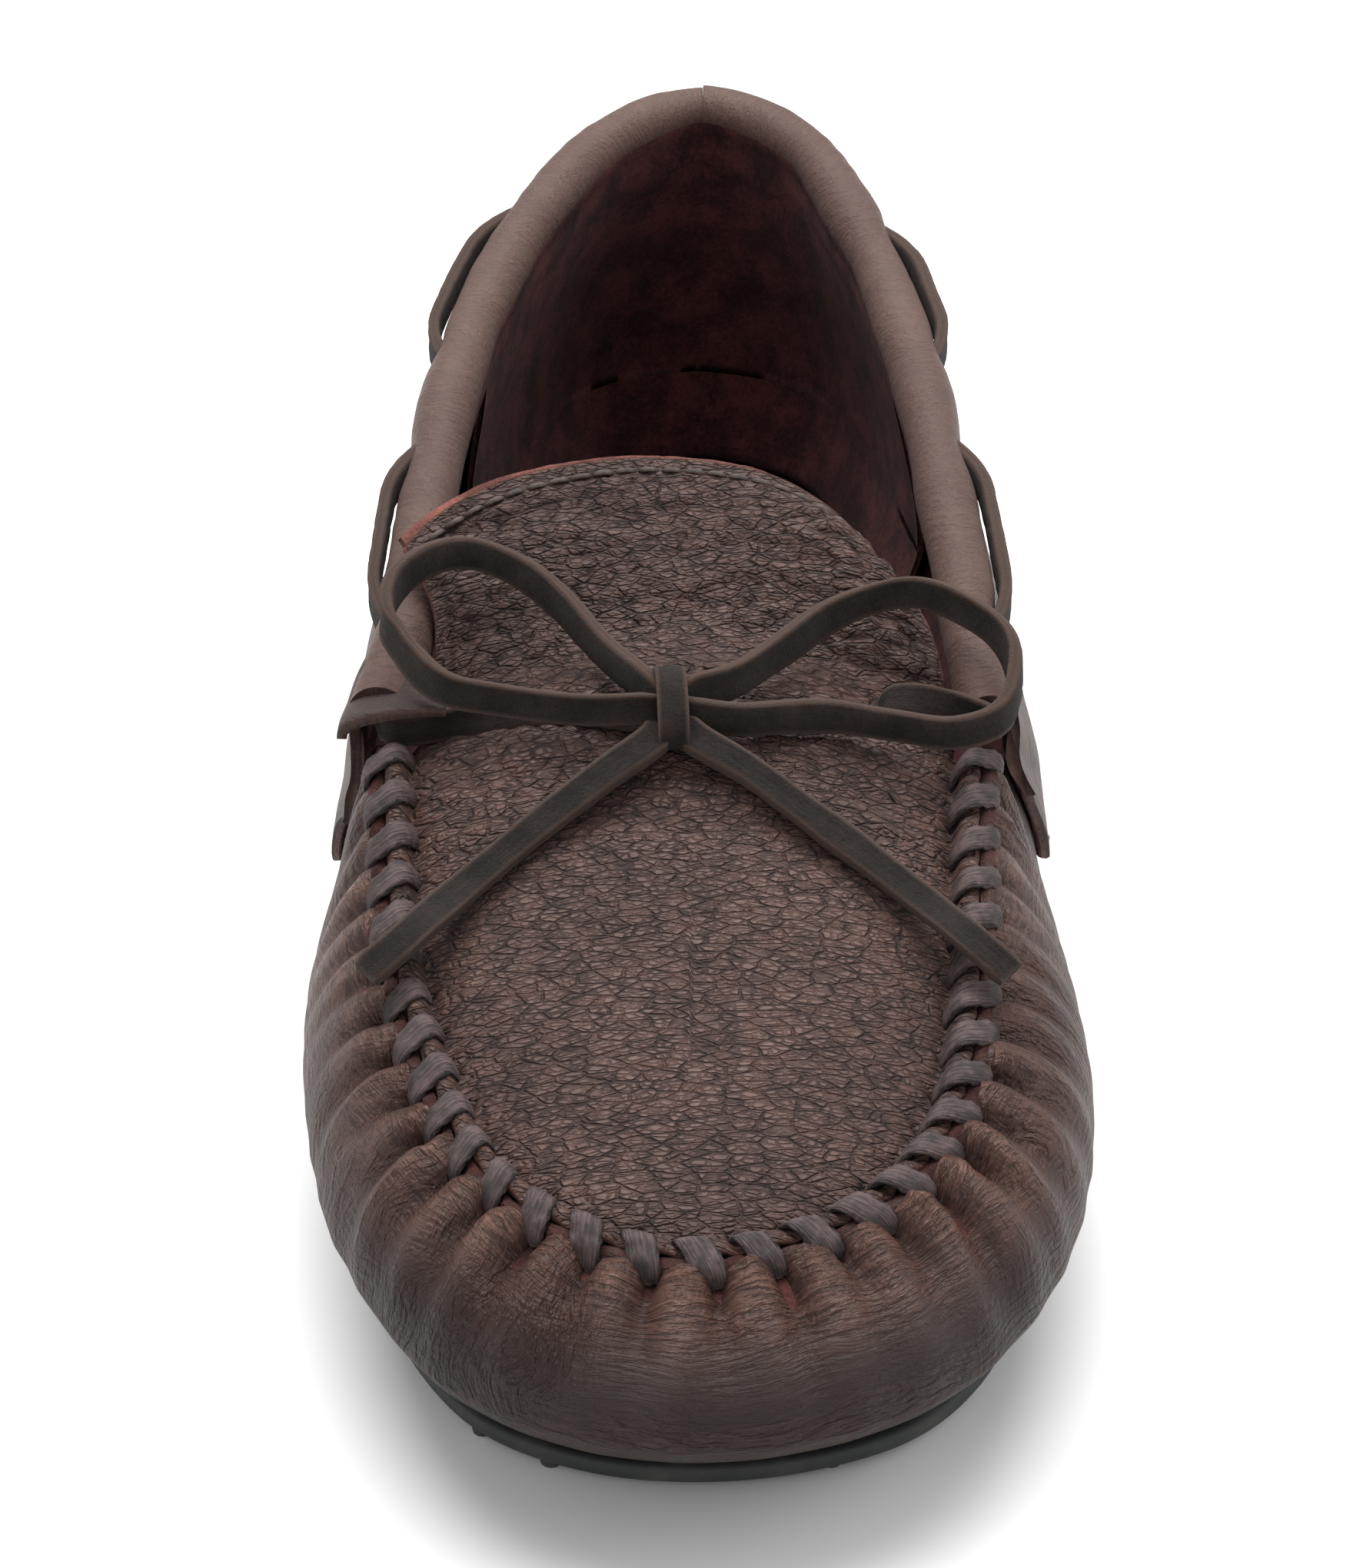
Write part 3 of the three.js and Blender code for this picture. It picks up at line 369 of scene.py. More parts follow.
def new_mesh(name, points, faces, uv=None, marks=None, slots=None, closed=True):
    """A smooth-shaded mesh from points in millimetres. uv holds one pair for each face corner."""
    mesh = bpy.data.meshes.new(name)
    mesh.from_pydata(((points + SHIFT) * MM).tolist(), [], faces)
    if uv is not None:
        layer = mesh.uv_layers.new(name="lie")
        layer.data.foreach_set("uv", (np.array(uv) * MM).astype(np.float32).ravel())
    for mark, values in (marks or {}).items():
        data = mesh.attributes.new(mark, "FLOAT", "POINT").data
        data.foreach_set("value", np.asarray(values, np.float32).ravel())
    if slots is not None:
        mesh.polygons.foreach_set("material_index", slots)
    mesh.polygons.foreach_set("use_smooth", [True] * len(mesh.polygons))
    if closed and enclosed(mesh) < 0:
        mesh.flip_normals()
    mesh.update()
    obj = bpy.data.objects.new(name, mesh)
    bpy.context.scene.collection.objects.link(obj)
    return obj


def enclosed(mesh):
    """The signed volume inside a mesh."""
    mesh.calc_loop_triangles()
    v = np.zeros(len(mesh.vertices) * 3)
    mesh.vertices.foreach_get("co", v)
    v = v.reshape(-1, 3)
    v = v - v.mean(0)
    t = np.zeros(len(mesh.loop_triangles) * 3, int)
    mesh.loop_triangles.foreach_get("vertices", t)
    a, b, c = (v[t.reshape(-1, 3)[:, k]] for k in range(3))
    return float((a * np.cross(b, c)).sum())


def grid_object(name, grid, lie=None, marks=None, round_rows=False, round_columns=False,
                cap_rows=False, cap_columns=False, row_slots=None):
    """A mesh from a grid. lie holds the surface's own coordinates; round directions close on themselves."""
    rows, columns = grid.shape[:2]
    r = np.arange(rows if round_rows else rows - 1)
    c = np.arange(columns if round_columns else columns - 1)
    rr, cc = (m.ravel() for m in np.meshgrid(r, c, indexing="ij"))
    r2, c2 = (rr + 1) % rows, (cc + 1) % columns
    faces = np.stack([rr * columns + cc, rr * columns + c2, r2 * columns + c2, r2 * columns + cc], 1)
    uv = None
    if lie is not None:
        lie = np.asarray(lie, float)
        if round_columns and lie.shape[1] == columns:
            lie = np.concatenate([lie, lie[:, :1]], 1)
        if round_rows and lie.shape[0] == rows:
            lie = np.concatenate([lie, lie[:1]], 0)
        corners = [lie[rr, cc], lie[rr, cc + 1], lie[rr + 1, cc + 1], lie[rr + 1, cc]]
        uv = np.stack(corners, 1).reshape(-1, 2)
    slots = None if row_slots is None else np.asarray(row_slots)[rr]
    faces = faces.tolist()
    extra = []
    if cap_rows:
        extra += [list(range(columns)), [(rows - 1) * columns + k for k in range(columns)][::-1]]
    if cap_columns:
        starts = [k * columns for k in range(rows)]
        extra += [starts[::-1], [k + columns - 1 for k in starts]]
    if extra and uv is not None:
        flat = lie.reshape(-1, 2)
        width = lie.shape[1]
        place = lambda v: flat[(v // columns) * width + v % columns]
        uv = np.vstack([uv, *[np.array([place(v) for v in face]) for face in extra]])
    if extra and slots is not None:
        slots = np.append(slots, [slots[0]] * len(extra))
    return new_mesh(name, grid.reshape(-1, 3), faces + extra, uv, marks, slots)


def dress(obj, materials, body="root", stands_for=()):
    """Gives a piece its materials, the body it rides on and the CAD nodes it stands for."""
    for material in materials if isinstance(materials, (list, tuple)) else [materials]:
        obj.data.materials.append(material)
    if body:
        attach(obj, body)
    if stands_for:
        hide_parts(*stands_for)
    return obj


# ---- Shader node trees ----
class Board:
    """Places nodes in a tree; a value given to a node is either a number to set or a socket to join."""

    def __init__(self, tree):
        self.tree = tree

    def add(self, kind, settings=None, **values):
        node = self.tree.nodes.new(kind)
        for key, value in (settings or {}).items():
            setattr(node, key, value)
        for key, value in values.items():
            self.feed(node.inputs[key.replace("_", " ")], value)
        return node

    def feed(self, socket, value):
        if isinstance(value, bpy.types.NodeSocket):
            self.tree.links.new(value, socket)
        else:
            socket.default_value = value

    def math(self, operation, a, b=0.0, clamp=False):
        node = self.add("ShaderNodeMath", {"operation": operation, "use_clamp": clamp})
        self.feed(node.inputs[0], a)
        self.feed(node.inputs[1], b)
        return node.outputs[0]

    def times(self, a, b):
        return self.math("MULTIPLY", a, b)

    def plus(self, a, b, clamp=False):
        return self.math("ADD", a, b, clamp)

    def minus(self, a, b):
        return self.math("SUBTRACT", a, b)

    def larger(self, a, b):
        return self.math("MAXIMUM", a, b)

    def noise(self, vector, scale, detail=2.0, roughness=0.5, distortion=0.0):
        node = self.add("ShaderNodeTexNoise", Vector=vector, Scale=scale, Detail=detail,
                        Roughness=roughness, Distortion=distortion)
        return node.outputs[0]

    def span(self, value, low, high, to_low=0.0, to_high=1.0):
        node = self.add("ShaderNodeMapRange", {"interpolation_type": "SMOOTHSTEP"}, Value=value)
        for key, number in (("From Min", low), ("From Max", high), ("To Min", to_low), ("To Max", to_high)):
            self.feed(node.inputs[key], number)
        return node.outputs[0]

    def stretched(self, vector, scale):
        node = self.add("ShaderNodeMapping", Vector=vector)
        node.inputs["Scale"].default_value = scale
        return node.outputs[0]

    def blend(self, share, a, b, mode="MIX"):
        node = self.add("ShaderNodeMix", {"data_type": "RGBA", "blend_type": mode})
        for place, value in ((0, share), (6, a), (7, b)):
            self.feed(node.inputs[place], value)
        return node.outputs[2]

    def mark(self, name):
        return self.add("ShaderNodeAttribute", {"attribute_name": name}).outputs["Fac"]

    def group(self, tree, **values):
        node = self.add("ShaderNodeGroup", {"node_tree": tree})
        for key, value in values.items():
            self.feed(node.inputs[key.replace("_", " ")], value)
        return node


def effect_group(name, inputs, outputs):
    """An empty shader node group with named sockets, its board and its two end nodes."""
    tree = bpy.data.node_groups.new(name, "ShaderNodeTree")
    for label, kind, value in inputs:
        socket = tree.interface.new_socket(name=label, in_out="INPUT", socket_type="NodeSocket" + kind)
        if value is not None:
            socket.default_value = value
    for label, kind in outputs:
        tree.interface.new_socket(name=label, in_out="OUTPUT", socket_type="NodeSocket" + kind)
    board = Board(tree)
    return board, board.add("NodeGroupInput").outputs, board.add("NodeGroupOutput").inputs


def pebbled_grain():
    """Pebbles between creases, with finer pores on them."""
    b, given, out = effect_group(
        "pebbled grain",
        [("Vector", "Vector", None), ("Size", "Float", 350.0), ("Crease", "Float", 0.12)],
        [("Height", "Float"), ("Crease Mask", "Float")],
    )
    bent = b.add("ShaderNodeVectorMath", {"operation": "ADD"})
    swirl = b.add("ShaderNodeTexNoise", Vector=given["Vector"], Scale=160.0, Detail=3.0)
    swirl_size = b.add("ShaderNodeVectorMath", {"operation": "SCALE"}, Scale=0.0014)
    b.feed(swirl_size.inputs[0], swirl.outputs["Color"])
    b.feed(bent.inputs[0], given["Vector"])
    b.feed(bent.inputs[1], swirl_size.outputs[0])
    cell = {"feature": "DISTANCE_TO_EDGE"}
    big = b.add("ShaderNodeTexVoronoi", cell, Vector=bent.outputs[0], Scale=given["Size"])
    small_scale = b.times(given["Size"], 2.3)
    small = b.add("ShaderNodeTexVoronoi", cell, Vector=bent.outputs[0], Scale=small_scale)
    pebble = b.span(big.outputs["Distance"], 0.0, given["Crease"])
    fleck = b.span(small.outputs["Distance"], 0.0, 0.22)
    pores = b.noise(given["Vector"], 2600.0, 3.0, 0.6)
    height = b.plus(b.times(pebble, 0.62), b.times(fleck, 0.24))
    b.feed(out["Height"], b.plus(height, b.times(pores, 0.2)))
    # The creases' mask, which the leathers use to paint shade into their colour.
    b.feed(out["Crease Mask"], b.minus(1.0, b.times(pebble, fleck)))
    return b.tree


def drawn_grain():
    """Fine wrinkles that run like hair in one direction of the skin."""
    b, given, out = effect_group(
        "drawn grain",
        [("Vector", "Vector", None), ("Direction", "Vector", (1.0, 1.0, 1.0))],
        [("Height", "Float"), ("Crease Mask", "Float")],
    )
    wander = b.add("ShaderNodeTexNoise", Vector=given["Vector"], Scale=55.0, Detail=2.0)
    pushed = b.add("ShaderNodeVectorMath", {"operation": "SCALE"}, Scale=0.009)
    b.feed(pushed.inputs[0], wander.outputs["Color"])
    moved = b.add("ShaderNodeVectorMath", {"operation": "ADD"})
    b.feed(moved.inputs[0], given["Vector"])
    b.feed(moved.inputs[1], pushed.outputs[0])
    laid = b.add("ShaderNodeVectorMath", {"operation": "MULTIPLY"})
    b.feed(laid.inputs[0], moved.outputs[0])
    b.feed(laid.inputs[1], given["Direction"])
    coarse = b.noise(laid.outputs[0], 1250.0, 3.0, 0.6)
    fine = b.noise(laid.outputs[0], 3000.0, 2.0, 0.6)
    lines = b.span(coarse, 0.38, 0.62)
    b.feed(out["Height"], b.plus(b.times(lines, 0.65), b.times(fine, 0.5)))
    # The wrinkles' mask, which the leathers use to paint shade into their colour.
    b.feed(out["Crease Mask"], b.span(coarse, 0.52, 0.36))
    return b.tree


def suede_nap():
    """The short fuzz of a split or a raw edge."""
    b, given, out = effect_group(
        "suede nap",
        [("Vector", "Vector", None), ("Fineness", "Float", 1800.0)],
        [("Height", "Float"), ("Tone", "Float")],
    )
    fuzz = b.noise(given["Vector"], given["Fineness"], 5.0, 0.75, 0.6)
    brushed = b.noise(given["Vector"], b.times(given["Fineness"], 0.09), 3.0, 0.6)
    b.feed(out["Height"], b.plus(fuzz, b.times(brushed, 0.6)))
    b.feed(out["Tone"], b.span(b.plus(fuzz, brushed), 0.75, 1.3))
    return b.tree


def worn_tone_and_painted_shade():
    """Colour that drifts over a hide, worn lighter on what stands proud, with painted shade darkening
    creases, folds and the other places its shade mask marks.
    """
    b, given, out = effect_group(
        "worn tone and painted shade",
        [("Vector", "Vector", None), ("Base", "Color", (0.05, 0.04, 0.03, 1)),
         ("Worn", "Color", (0.1, 0.08, 0.07, 1)), ("Deep", "Color", (0.01, 0.01, 0.01, 1)),
         ("Rub", "Float", 0.0), ("Crease Mask", "Float", 0.0), ("Spread", "Float", 38.0)],
        [("Color", "Color"), ("Rub Mask", "Float")],
    )
    drift = b.noise(given["Vector"], given["Spread"], 4.0, 0.6)
    patch = b.span(drift, 0.35, 0.68)
    rubbed = b.plus(given["Rub"], b.times(patch, 0.4), clamp=True)
    tone = b.blend(rubbed, given["Base"], given["Worn"])
    # Painted shade: where the shade mask is high, the colour is blended towards the dark shade colour.
    b.feed(out["Color"], b.blend(b.times(given["Crease Mask"], 0.75), tone, given["Deep"]))
    b.feed(out["Rub Mask"], rubbed)
    return b.tree


PEBBLED, DRAWN, NAP, WORN_AND_SHADE = pebbled_grain(), drawn_grain(), suede_nap(), worn_tone_and_painted_shade()


def start_material(name):
    """A new material's board and its Principled shader."""
    material = bpy.data.materials.new(name)
    material.use_nodes = True
    board = Board(material.node_tree)
    board.tree.nodes.clear()
    shader = board.add("ShaderNodeBsdfPrincipled")
    end = board.add("ShaderNodeOutputMaterial")
    board.feed(end.inputs["Surface"], shader.outputs["BSDF"])
    return material, board, shader


def constants(shader, **values):
    """Sets plain values on a shader's own sockets."""
    for key, value in values.items():
        shader.inputs[key.replace("_", " ")].default_value = value


def bump(board, height, distance, strength=1.0, under=None):
    node = board.add("ShaderNodeBump", Height=height, Distance=distance, Strength=strength)
    if under is not None:
        board.feed(node.inputs["Normal"], under)
    return node.outputs["Normal"]


def object_place(board):
    return board.add("ShaderNodeTexCoord").outputs["Object"]


def own_lie(board):
    """The skin's own coordinates, in metres."""
    return board.add("ShaderNodeUVMap", {"uv_map": "lie"}).outputs["UV"]


def colour(red, green, blue):
    """A colour given as it looks on a screen, from 0 to 255."""
    linear = lambda c: c / 12.92 if c <= 0.04045 else ((c + 0.055) / 1.055) ** 2.4
    return tuple(linear(value / 255) for value in (red, green, blue)) + (1.0,)


def cut_edges(b, shader, place, skin, dark, light):
    """Colours a skin, raw suede where it is cut. Gives the raw share and the suede's height."""
    raw = b.mark("raw")
    nap = b.group(NAP, Vector=place, Fineness=2600.0)
    raw_tone = b.blend(nap.outputs["Tone"], dark, light)
    b.feed(shader.inputs["Base Color"], b.blend(raw, skin, raw_tone))
    return raw, nap.outputs["Height"]


def pebbled_leather():
    """The plug's and tongue's skin: pebbled, waxed, rubbed bright on the folds; raw where it is cut."""
    material, b, shader = start_material("pebbled_leather")
    place, lie = object_place(b), own_lie(b)
    long_cells = b.stretched(lie, (0.4, 1.0, 1.0))
    grain = b.group(PEBBLED, Vector=long_cells, Size=680.0, Crease=0.1)
    broken = b.span(b.noise(lie, 300.0, 2.0), 0.38, 0.6)
    # Painted shade: the grain's creases, the stitch holes and the other marked places darken the colour.
    crease = b.times(grain.outputs["Crease Mask"], b.plus(0.25, b.times(broken, 0.75)))
    tone = b.group(WORN_AND_SHADE, Vector=place, Base=colour(69, 46, 38), Worn=colour(100, 71, 60),
                   Deep=colour(24, 17, 15), Rub=b.mark("rub"), Crease_Mask=b.larger(crease, b.mark("painted_shade")))
    raw, nap_height = cut_edges(b, shader, place, tone.outputs["Color"],
                                colour(80, 47, 39), colour(126, 80, 67))
    rough = b.minus(0.58, b.times(tone.outputs["Rub Mask"], 0.22))
    rough = b.plus(rough, b.times(crease, 0.25))
    b.feed(shader.inputs["Roughness"], b.larger(rough, b.times(raw, 0.95)))
    height = b.blend(raw, grain.outputs["Height"], nap_height)
    b.feed(shader.inputs["Normal"], bump(b, height, 0.0008, 1.0))
    constants(shader, Specular_IOR_Level=0.38)
    return material


def drawn_leather():
    """The wrap's skin: fine drawn wrinkles with a satin shine, raw suede on its cut edge."""
    material, b, shader = start_material("drawn_leather")
    place, lie = object_place(b), own_lie(b)
    long_way = b.group(DRAWN, Vector=lie, Direction=(1.0, 0.2, 1.0))
    cross_way = b.group(DRAWN, Vector=lie, Direction=(0.22, 1.0, 1.0))
    turned = b.span(b.noise(place, 26.0, 1.0), 0.4, 0.6)
    near_seam = b.mark("gathered")
    share = b.larger(b.times(turned, 0.9), near_seam)
    height = b.blend(share, long_way.outputs["Height"], cross_way.outputs["Height"])
    crease = b.blend(share, long_way.outputs["Crease Mask"], cross_way.outputs["Crease Mask"])
    # Painted shade: the wrinkles, the stitch holes and the underside round the toe darken the colour.
    crease = b.larger(b.times(crease, 0.9), b.mark("painted_shade"))
    tone = b.group(WORN_AND_SHADE, Vector=place, Base=colour(66, 44, 37), Worn=colour(110, 80, 69),
                   Deep=colour(20, 12, 10), Rub=b.mark("rub"), Crease_Mask=crease, Spread=26.0)
    raw, nap_height = cut_edges(b, shader, place, tone.outputs["Color"],
                                colour(44, 24, 22), colour(96, 56, 51))
    rough = b.minus(0.5, b.times(tone.outputs["Rub Mask"], 0.16))
    b.feed(shader.inputs["Roughness"], b.larger(rough, b.times(raw, 0.95)))
    rise = b.blend(raw, height, nap_height)
    b.feed(shader.inputs["Normal"], bump(b, rise, 0.001, 1.0))
    constants(shader, Specular_IOR_Level=0.26)
    return material


def collar_leather():
    """The quarters' softer, smoother and paler leather, with fine lines across the roll."""
    material, b, shader = start_material("collar_leather")
    place, lie = object_place(b), own_lie(b)
    lines = b.group(DRAWN, Vector=lie, Direction=(1.0, 0.3, 1.0))
    pores = b.noise(place, 2400.0, 4.0, 0.6)
    # Painted shade: the fine lines and the marked window mouths, seam lines and front tab darken the
    # colour.
    crease = b.larger(b.times(lines.outputs["Crease Mask"], 0.25), b.mark("painted_shade"))
    wall = b.blend(b.mark("wall"), colour(66, 45, 38), colour(56, 40, 34))
    tone = b.group(WORN_AND_SHADE, Vector=place, Base=wall, Worn=colour(88, 64, 55),
                   Deep=colour(24, 17, 14), Rub=b.mark("rub"), Crease_Mask=crease, Spread=34.0)
    cut_edges(b, shader, place, tone.outputs["Color"], colour(54, 35, 29), colour(92, 62, 52))
    b.feed(shader.inputs["Roughness"], b.plus(0.5, b.times(pores, 0.14)))
    height = b.plus(b.times(lines.outputs["Height"], 0.6), b.times(pores, 0.5))
    b.feed(shader.inputs["Normal"], bump(b, height, 0.0003, 0.9))
    constants(shader, Specular_IOR_Level=0.32, Sheen_Weight=0.05, Sheen_Roughness=0.5)
    return material


def suede(name, dark, light, fineness=1500.0, sheen=0.35):
    """Napped leather: linings, the flesh side of each hide, and the lace."""
    material, b, shader = start_material(name)
    place = object_place(b)
    nap = b.group(NAP, Vector=place, Fineness=fineness)
    tone = b.blend(nap.outputs["Tone"], dark, light)
    b.feed(shader.inputs["Base Color"], tone)
    b.feed(shader.inputs["Normal"], bump(b, nap.outputs["Height"], 0.0003, 0.8))
    constants(shader, Roughness=0.9, Specular_IOR_Level=0.2, Sheen_Weight=sheen, Sheen_Roughness=0.6)
    return material


def lace_suede():
    """The lace: dark napped leather, a little paler along its cut edges, with grain running along it."""
    material, b, shader = start_material("lace_suede")
    place, lie = object_place(b), own_lie(b)
    nap = b.group(NAP, Vector=place, Fineness=2200.0)
    strands = b.noise(b.stretched(lie, (0.08, 1.0, 1.0)), 1500.0, 3.0, 0.6)
    tone = b.blend(nap.outputs["Tone"], colour(20, 14, 12), colour(44, 33, 28))
    tone = b.blend(b.times(b.mark("rub"), 0.6), tone, colour(98, 76, 65))
    b.feed(shader.inputs["Base Color"], tone)
    height = b.plus(nap.outputs["Height"], b.times(strands, 0.7))
    b.feed(shader.inputs["Normal"], bump(b, height, 0.00045, 0.9))
    constants(shader, Roughness=0.85, Specular_IOR_Level=0.16, Sheen_Weight=0.08, Sheen_Roughness=0.5)
    return material


def thread(name, dark, light, shine):
    """Waxed thread with its plies lying along the stitch."""
    material, b, shader = start_material(name)
    place, lie = object_place(b), own_lie(b)
    plies = b.noise(b.stretched(lie, (0.06, 1.0, 1.0)), 2600.0, 3.0, 0.65)
    blotch = b.noise(place, 420.0, 3.0, 0.6)
    share = b.span(b.plus(plies, b.times(blotch, 0.8)), 0.7, 1.15)
    b.feed(shader.inputs["Base Color"], b.blend(share, dark, light))
    b.feed(shader.inputs["Roughness"], b.minus(shine, b.times(plies, 0.15)))
    b.feed(shader.inputs["Normal"], bump(b, plies, 0.0005, 1.0))
    return material


def studded_rubber():
    """Grey-green black rubber, dusty on its faces."""
    material, b, shader = start_material("studded_rubber")
    place = object_place(b)
    grit = b.noise(place, 2200.0, 4.0, 0.7)
    dust = b.span(b.noise(place, 90.0, 4.0, 0.6), 0.45, 0.72)
    tone = b.blend(dust, colour(40, 43, 42), colour(66, 68, 64))
    b.feed(shader.inputs["Base Color"], tone)
    b.feed(shader.inputs["Roughness"], b.plus(0.6, b.times(dust, 0.25)))
    b.feed(shader.inputs["Normal"], bump(b, grit, 0.00015, 0.6))
    return material


def pressed_board():
    """Fibreboard of the insole and the heel's stiffener."""
    material, b, shader = start_material("pressed_board")
    place = object_place(b)
    fibres = b.noise(b.stretched(place, (1.0, 0.3, 1.0)), 1400.0, 4.0, 0.7)
    b.feed(shader.inputs["Base Color"], b.blend(fibres, colour(120, 98, 68), colour(178, 156, 120)))
    b.feed(shader.inputs["Normal"], bump(b, fibres, 0.0002, 0.6))
    constants(shader, Roughness=0.92)
    return material


def cut_foam():
    """The footbed's open-celled foam."""
    material, b, shader = start_material("cut_foam")
    cells = b.add("ShaderNodeTexVoronoi", Vector=object_place(b), Scale=1500.0).outputs["Distance"]
    b.feed(shader.inputs["Base Color"], b.blend(cells, colour(150, 140, 118), colour(214, 206, 184)))
    b.feed(shader.inputs["Normal"], bump(b, cells, 0.0003, 0.9))
    constants(shader, Roughness=0.95)
    return material


PEBBLED_LEATHER, DRAWN_LEATHER, COLLAR_LEATHER = pebbled_leather(), drawn_leather(), collar_leather()
FLESH_SUEDE = suede("flesh_suede", colour(42, 20, 20), colour(96, 52, 48), 1500.0, 0.04)
RAW_SUEDE = suede("raw_suede", colour(84, 46, 41), colour(142, 88, 78), 2600.0, 0.05)
SOCK_SUEDE = suede("sock_leather", colour(40, 30, 26), colour(66, 51, 44), 900.0, 0.2)
LACE_SUEDE = lace_suede()
WAXED_THREAD = thread("waxed_thread", colour(36, 27, 26), colour(90, 72, 70), 0.8)
FINE_THREAD = thread("fine_thread", colour(42, 31, 27), colour(84, 66, 57), 0.65)
RUBBER, BOARD, FOAM = studded_rubber(), pressed_board(), cut_foam()


# ---- The view and the light ----
CAMERA_TILT = 31.5  # degrees above the floor
CAMERA_DISTANCE = 600.0
CAMERA_LENS = 93.46
CAMERA_SHIFT = (-0.0093, -0.0304)


def photographer():
    """The camera: in front of the toe, looking down over the shoe from well above."""
    sight = np.array([0.0, -6.5, 40.0]) + SHIFT
    tilt = math.radians(CAMERA_TILT)
    data = bpy.data.cameras.new("view")
    data.lens, data.sensor_width, data.clip_start = CAMERA_LENS, 36.0, 0.01
    data.shift_x, data.shift_y = CAMERA_SHIFT
    camera = bpy.data.objects.new("view", data)
    back = np.array([0.0, -math.cos(tilt), math.sin(tilt)])
    camera.location = (sight + CAMERA_DISTANCE * back) * MM
    camera.rotation_euler = (math.pi / 2 - tilt, 0, 0)
    bpy.context.scene.collection.objects.link(camera)
    bpy.context.scene.camera = camera


def soft_light(name, place, aim, size, power):
    data = bpy.data.lights.new(name, "AREA")
    data.shape, data.size, data.size_y = "RECTANGLE", size[0], size[1]
    data.energy = power
    light = bpy.data.objects.new(name, data)
    light.location = place
    light.rotation_euler = (Vector(aim) - Vector(place)).to_track_quat("-Z", "Y").to_euler()
    bpy.context.scene.collection.objects.link(light)


def studio():
    """A pale floor in a white room, a broad light overhead and weak ones at the right and in front."""
    bpy.ops.mesh.primitive_plane_add(size=6.0, location=(0, 0, 0))
    floor = bpy.context.active_object
    floor.name = "floor"
    material, b, shader = start_material("pale_floor")
    grain = b.noise(object_place(b), 14.0, 3.0)
    b.feed(shader.inputs["Base Color"], b.blend(grain, (0.86, 0.86, 0.86, 1), (0.9, 0.9, 0.9, 1)))
    constants(shader, Roughness=0.8)
    floor.data.materials.append(material)
    world = bpy.data.worlds.new("white_room")
    bpy.context.scene.world = world
    world.use_nodes = True
    constants(world.node_tree.nodes["Background"], Color=(1.0, 1.0, 1.0, 1), Strength=0.62)
    soft_light("overhead", (-0.05, 0.45, 1.15), (0, 0, 0.03), (1.3, 1.0), 26.0)
    soft_light("side", (0.95, 0.1, 0.6), (0, 0, 0.03), (0.8, 0.5), 2.5)
    soft_light("front", (-0.3, -0.9, 0.9), (0, -0.05, 0.02), (0.6, 0.5), 1.2)
    bpy.context.scene.view_settings.view_transform = "Standard"


# ---- The lace ----
def band_section(width, thickness):
    """The outline of a flat lace, round at its cut edges, wide side first."""
    turn = np.linspace(0, 2 * math.pi, 16, endpoint=False) + math.pi / 16
    wide = np.clip(np.cos(turn) * 1.25, -1, 1) * width / 2
    thick = np.clip(np.sin(turn) * 1.45, -1, 1) * thickness / 2
    return wide, thick


def flat_band(name, line, across, width, thickness, seed, bite=(1.0, 1.0)):
    """A flat band along a line of points; its wide side follows the "across" directions."""
    along = unit(np.gradient(line, axis=0))
    face = unit(np.cross(along, across))
    side = np.cross(face, along)
    run = lengths(line)
    wide, thick = band_section(width, thickness)
    soft = 1 + 0.07 * swell(np.stack([run, 0 * run], 1), 7.0, seed)
    ends = np.linspace(0, 1, len(line))
    soft *= np.interp(ends, [0, 0.02, 0.98, 1], [bite[0], 1, 1, bite[1]])
    curl = 0.14 * (wide / (width / 2)) ** 2 * thickness
    grid = line[:, None] + side[:, None] * wide[None, :, None] * soft[:, None, None]
    grid = grid + face[:, None] * (thick[None, :] * soft[:, None] + curl[None, :])[:, :, None]
    places = paired(run[:, None], np.arange(1, len(wide) + 1)[None] * 0.9)
    grid += face[:, None] * (0.07 * swell(places, 1.1, seed + 3))[:, :, None]
    rub = np.broadcast_to(smooth(np.abs(wide) / (width / 2), 0.86, 1.0), grid.shape[:2])
    return grid_object(name, grid, lie=places, marks={"rub": rub}, round_columns=True, cap_rows=True)


def laid(points):
    return np.array(points, float) + SOLE_TOP * UP


def refined(points, spacing=0.7):
    """The smooth line through points, with a point about every "spacing"."""
    rail = Rail(points)
    fine = rail.at(np.linspace(0, 1, 400))
    run = lengths(fine)
    shares = np.interp(np.linspace(0, run[-1], int(run[-1] / spacing) + 2), run, np.linspace(0, 1, 400))
    return rail.at(shares)


def free_lace(name, node, points, standing, far_end, seed):
    """A loose stretch of lace. The loops stand on edge and the tails lie on their flat side."""
    into_knot = (np.array(KNOT_CENTRE) + np.array([1.0, 1.0, 0.98]) * points[0]) / 2
    ends = [into_knot, *points]
    if far_end == "object":
        ends.append((np.array(KNOT_CENTRE) + points[-1]) / 2)
    line = refined(laid(ends))
    along = np.gradient(line, axis=0)
    if standing:
        across = np.broadcast_to([0.0, 0.35, 0.94], line.shape)
    else:
        across = np.cross(np.broadcast_to([0.0, -0.38, 0.92], line.shape), along)
    band = flat_band(name, line, across, LACE_WIDTH, LACE_THICKNESS, seed, bite=(0.85, 0.9))
    dress(band, LACE_SUEDE, "root", [node])


def lace_stand_off(y, windows):
    outside = COLLAR_RADIUS + LACE_THICKNESS / 2 + LACE_BULGE
    shares = []
    for front, back in windows:
        near_end = np.minimum(y - front, back - y) + LACE_RAMP / 2
        run = np.clip(near_end / (LACE_RAMP * 1.6), 0, 1)
        shares.append(np.sin(run * math.pi / 2) ** 0.8)
    return outside * np.max(shares, axis=0)


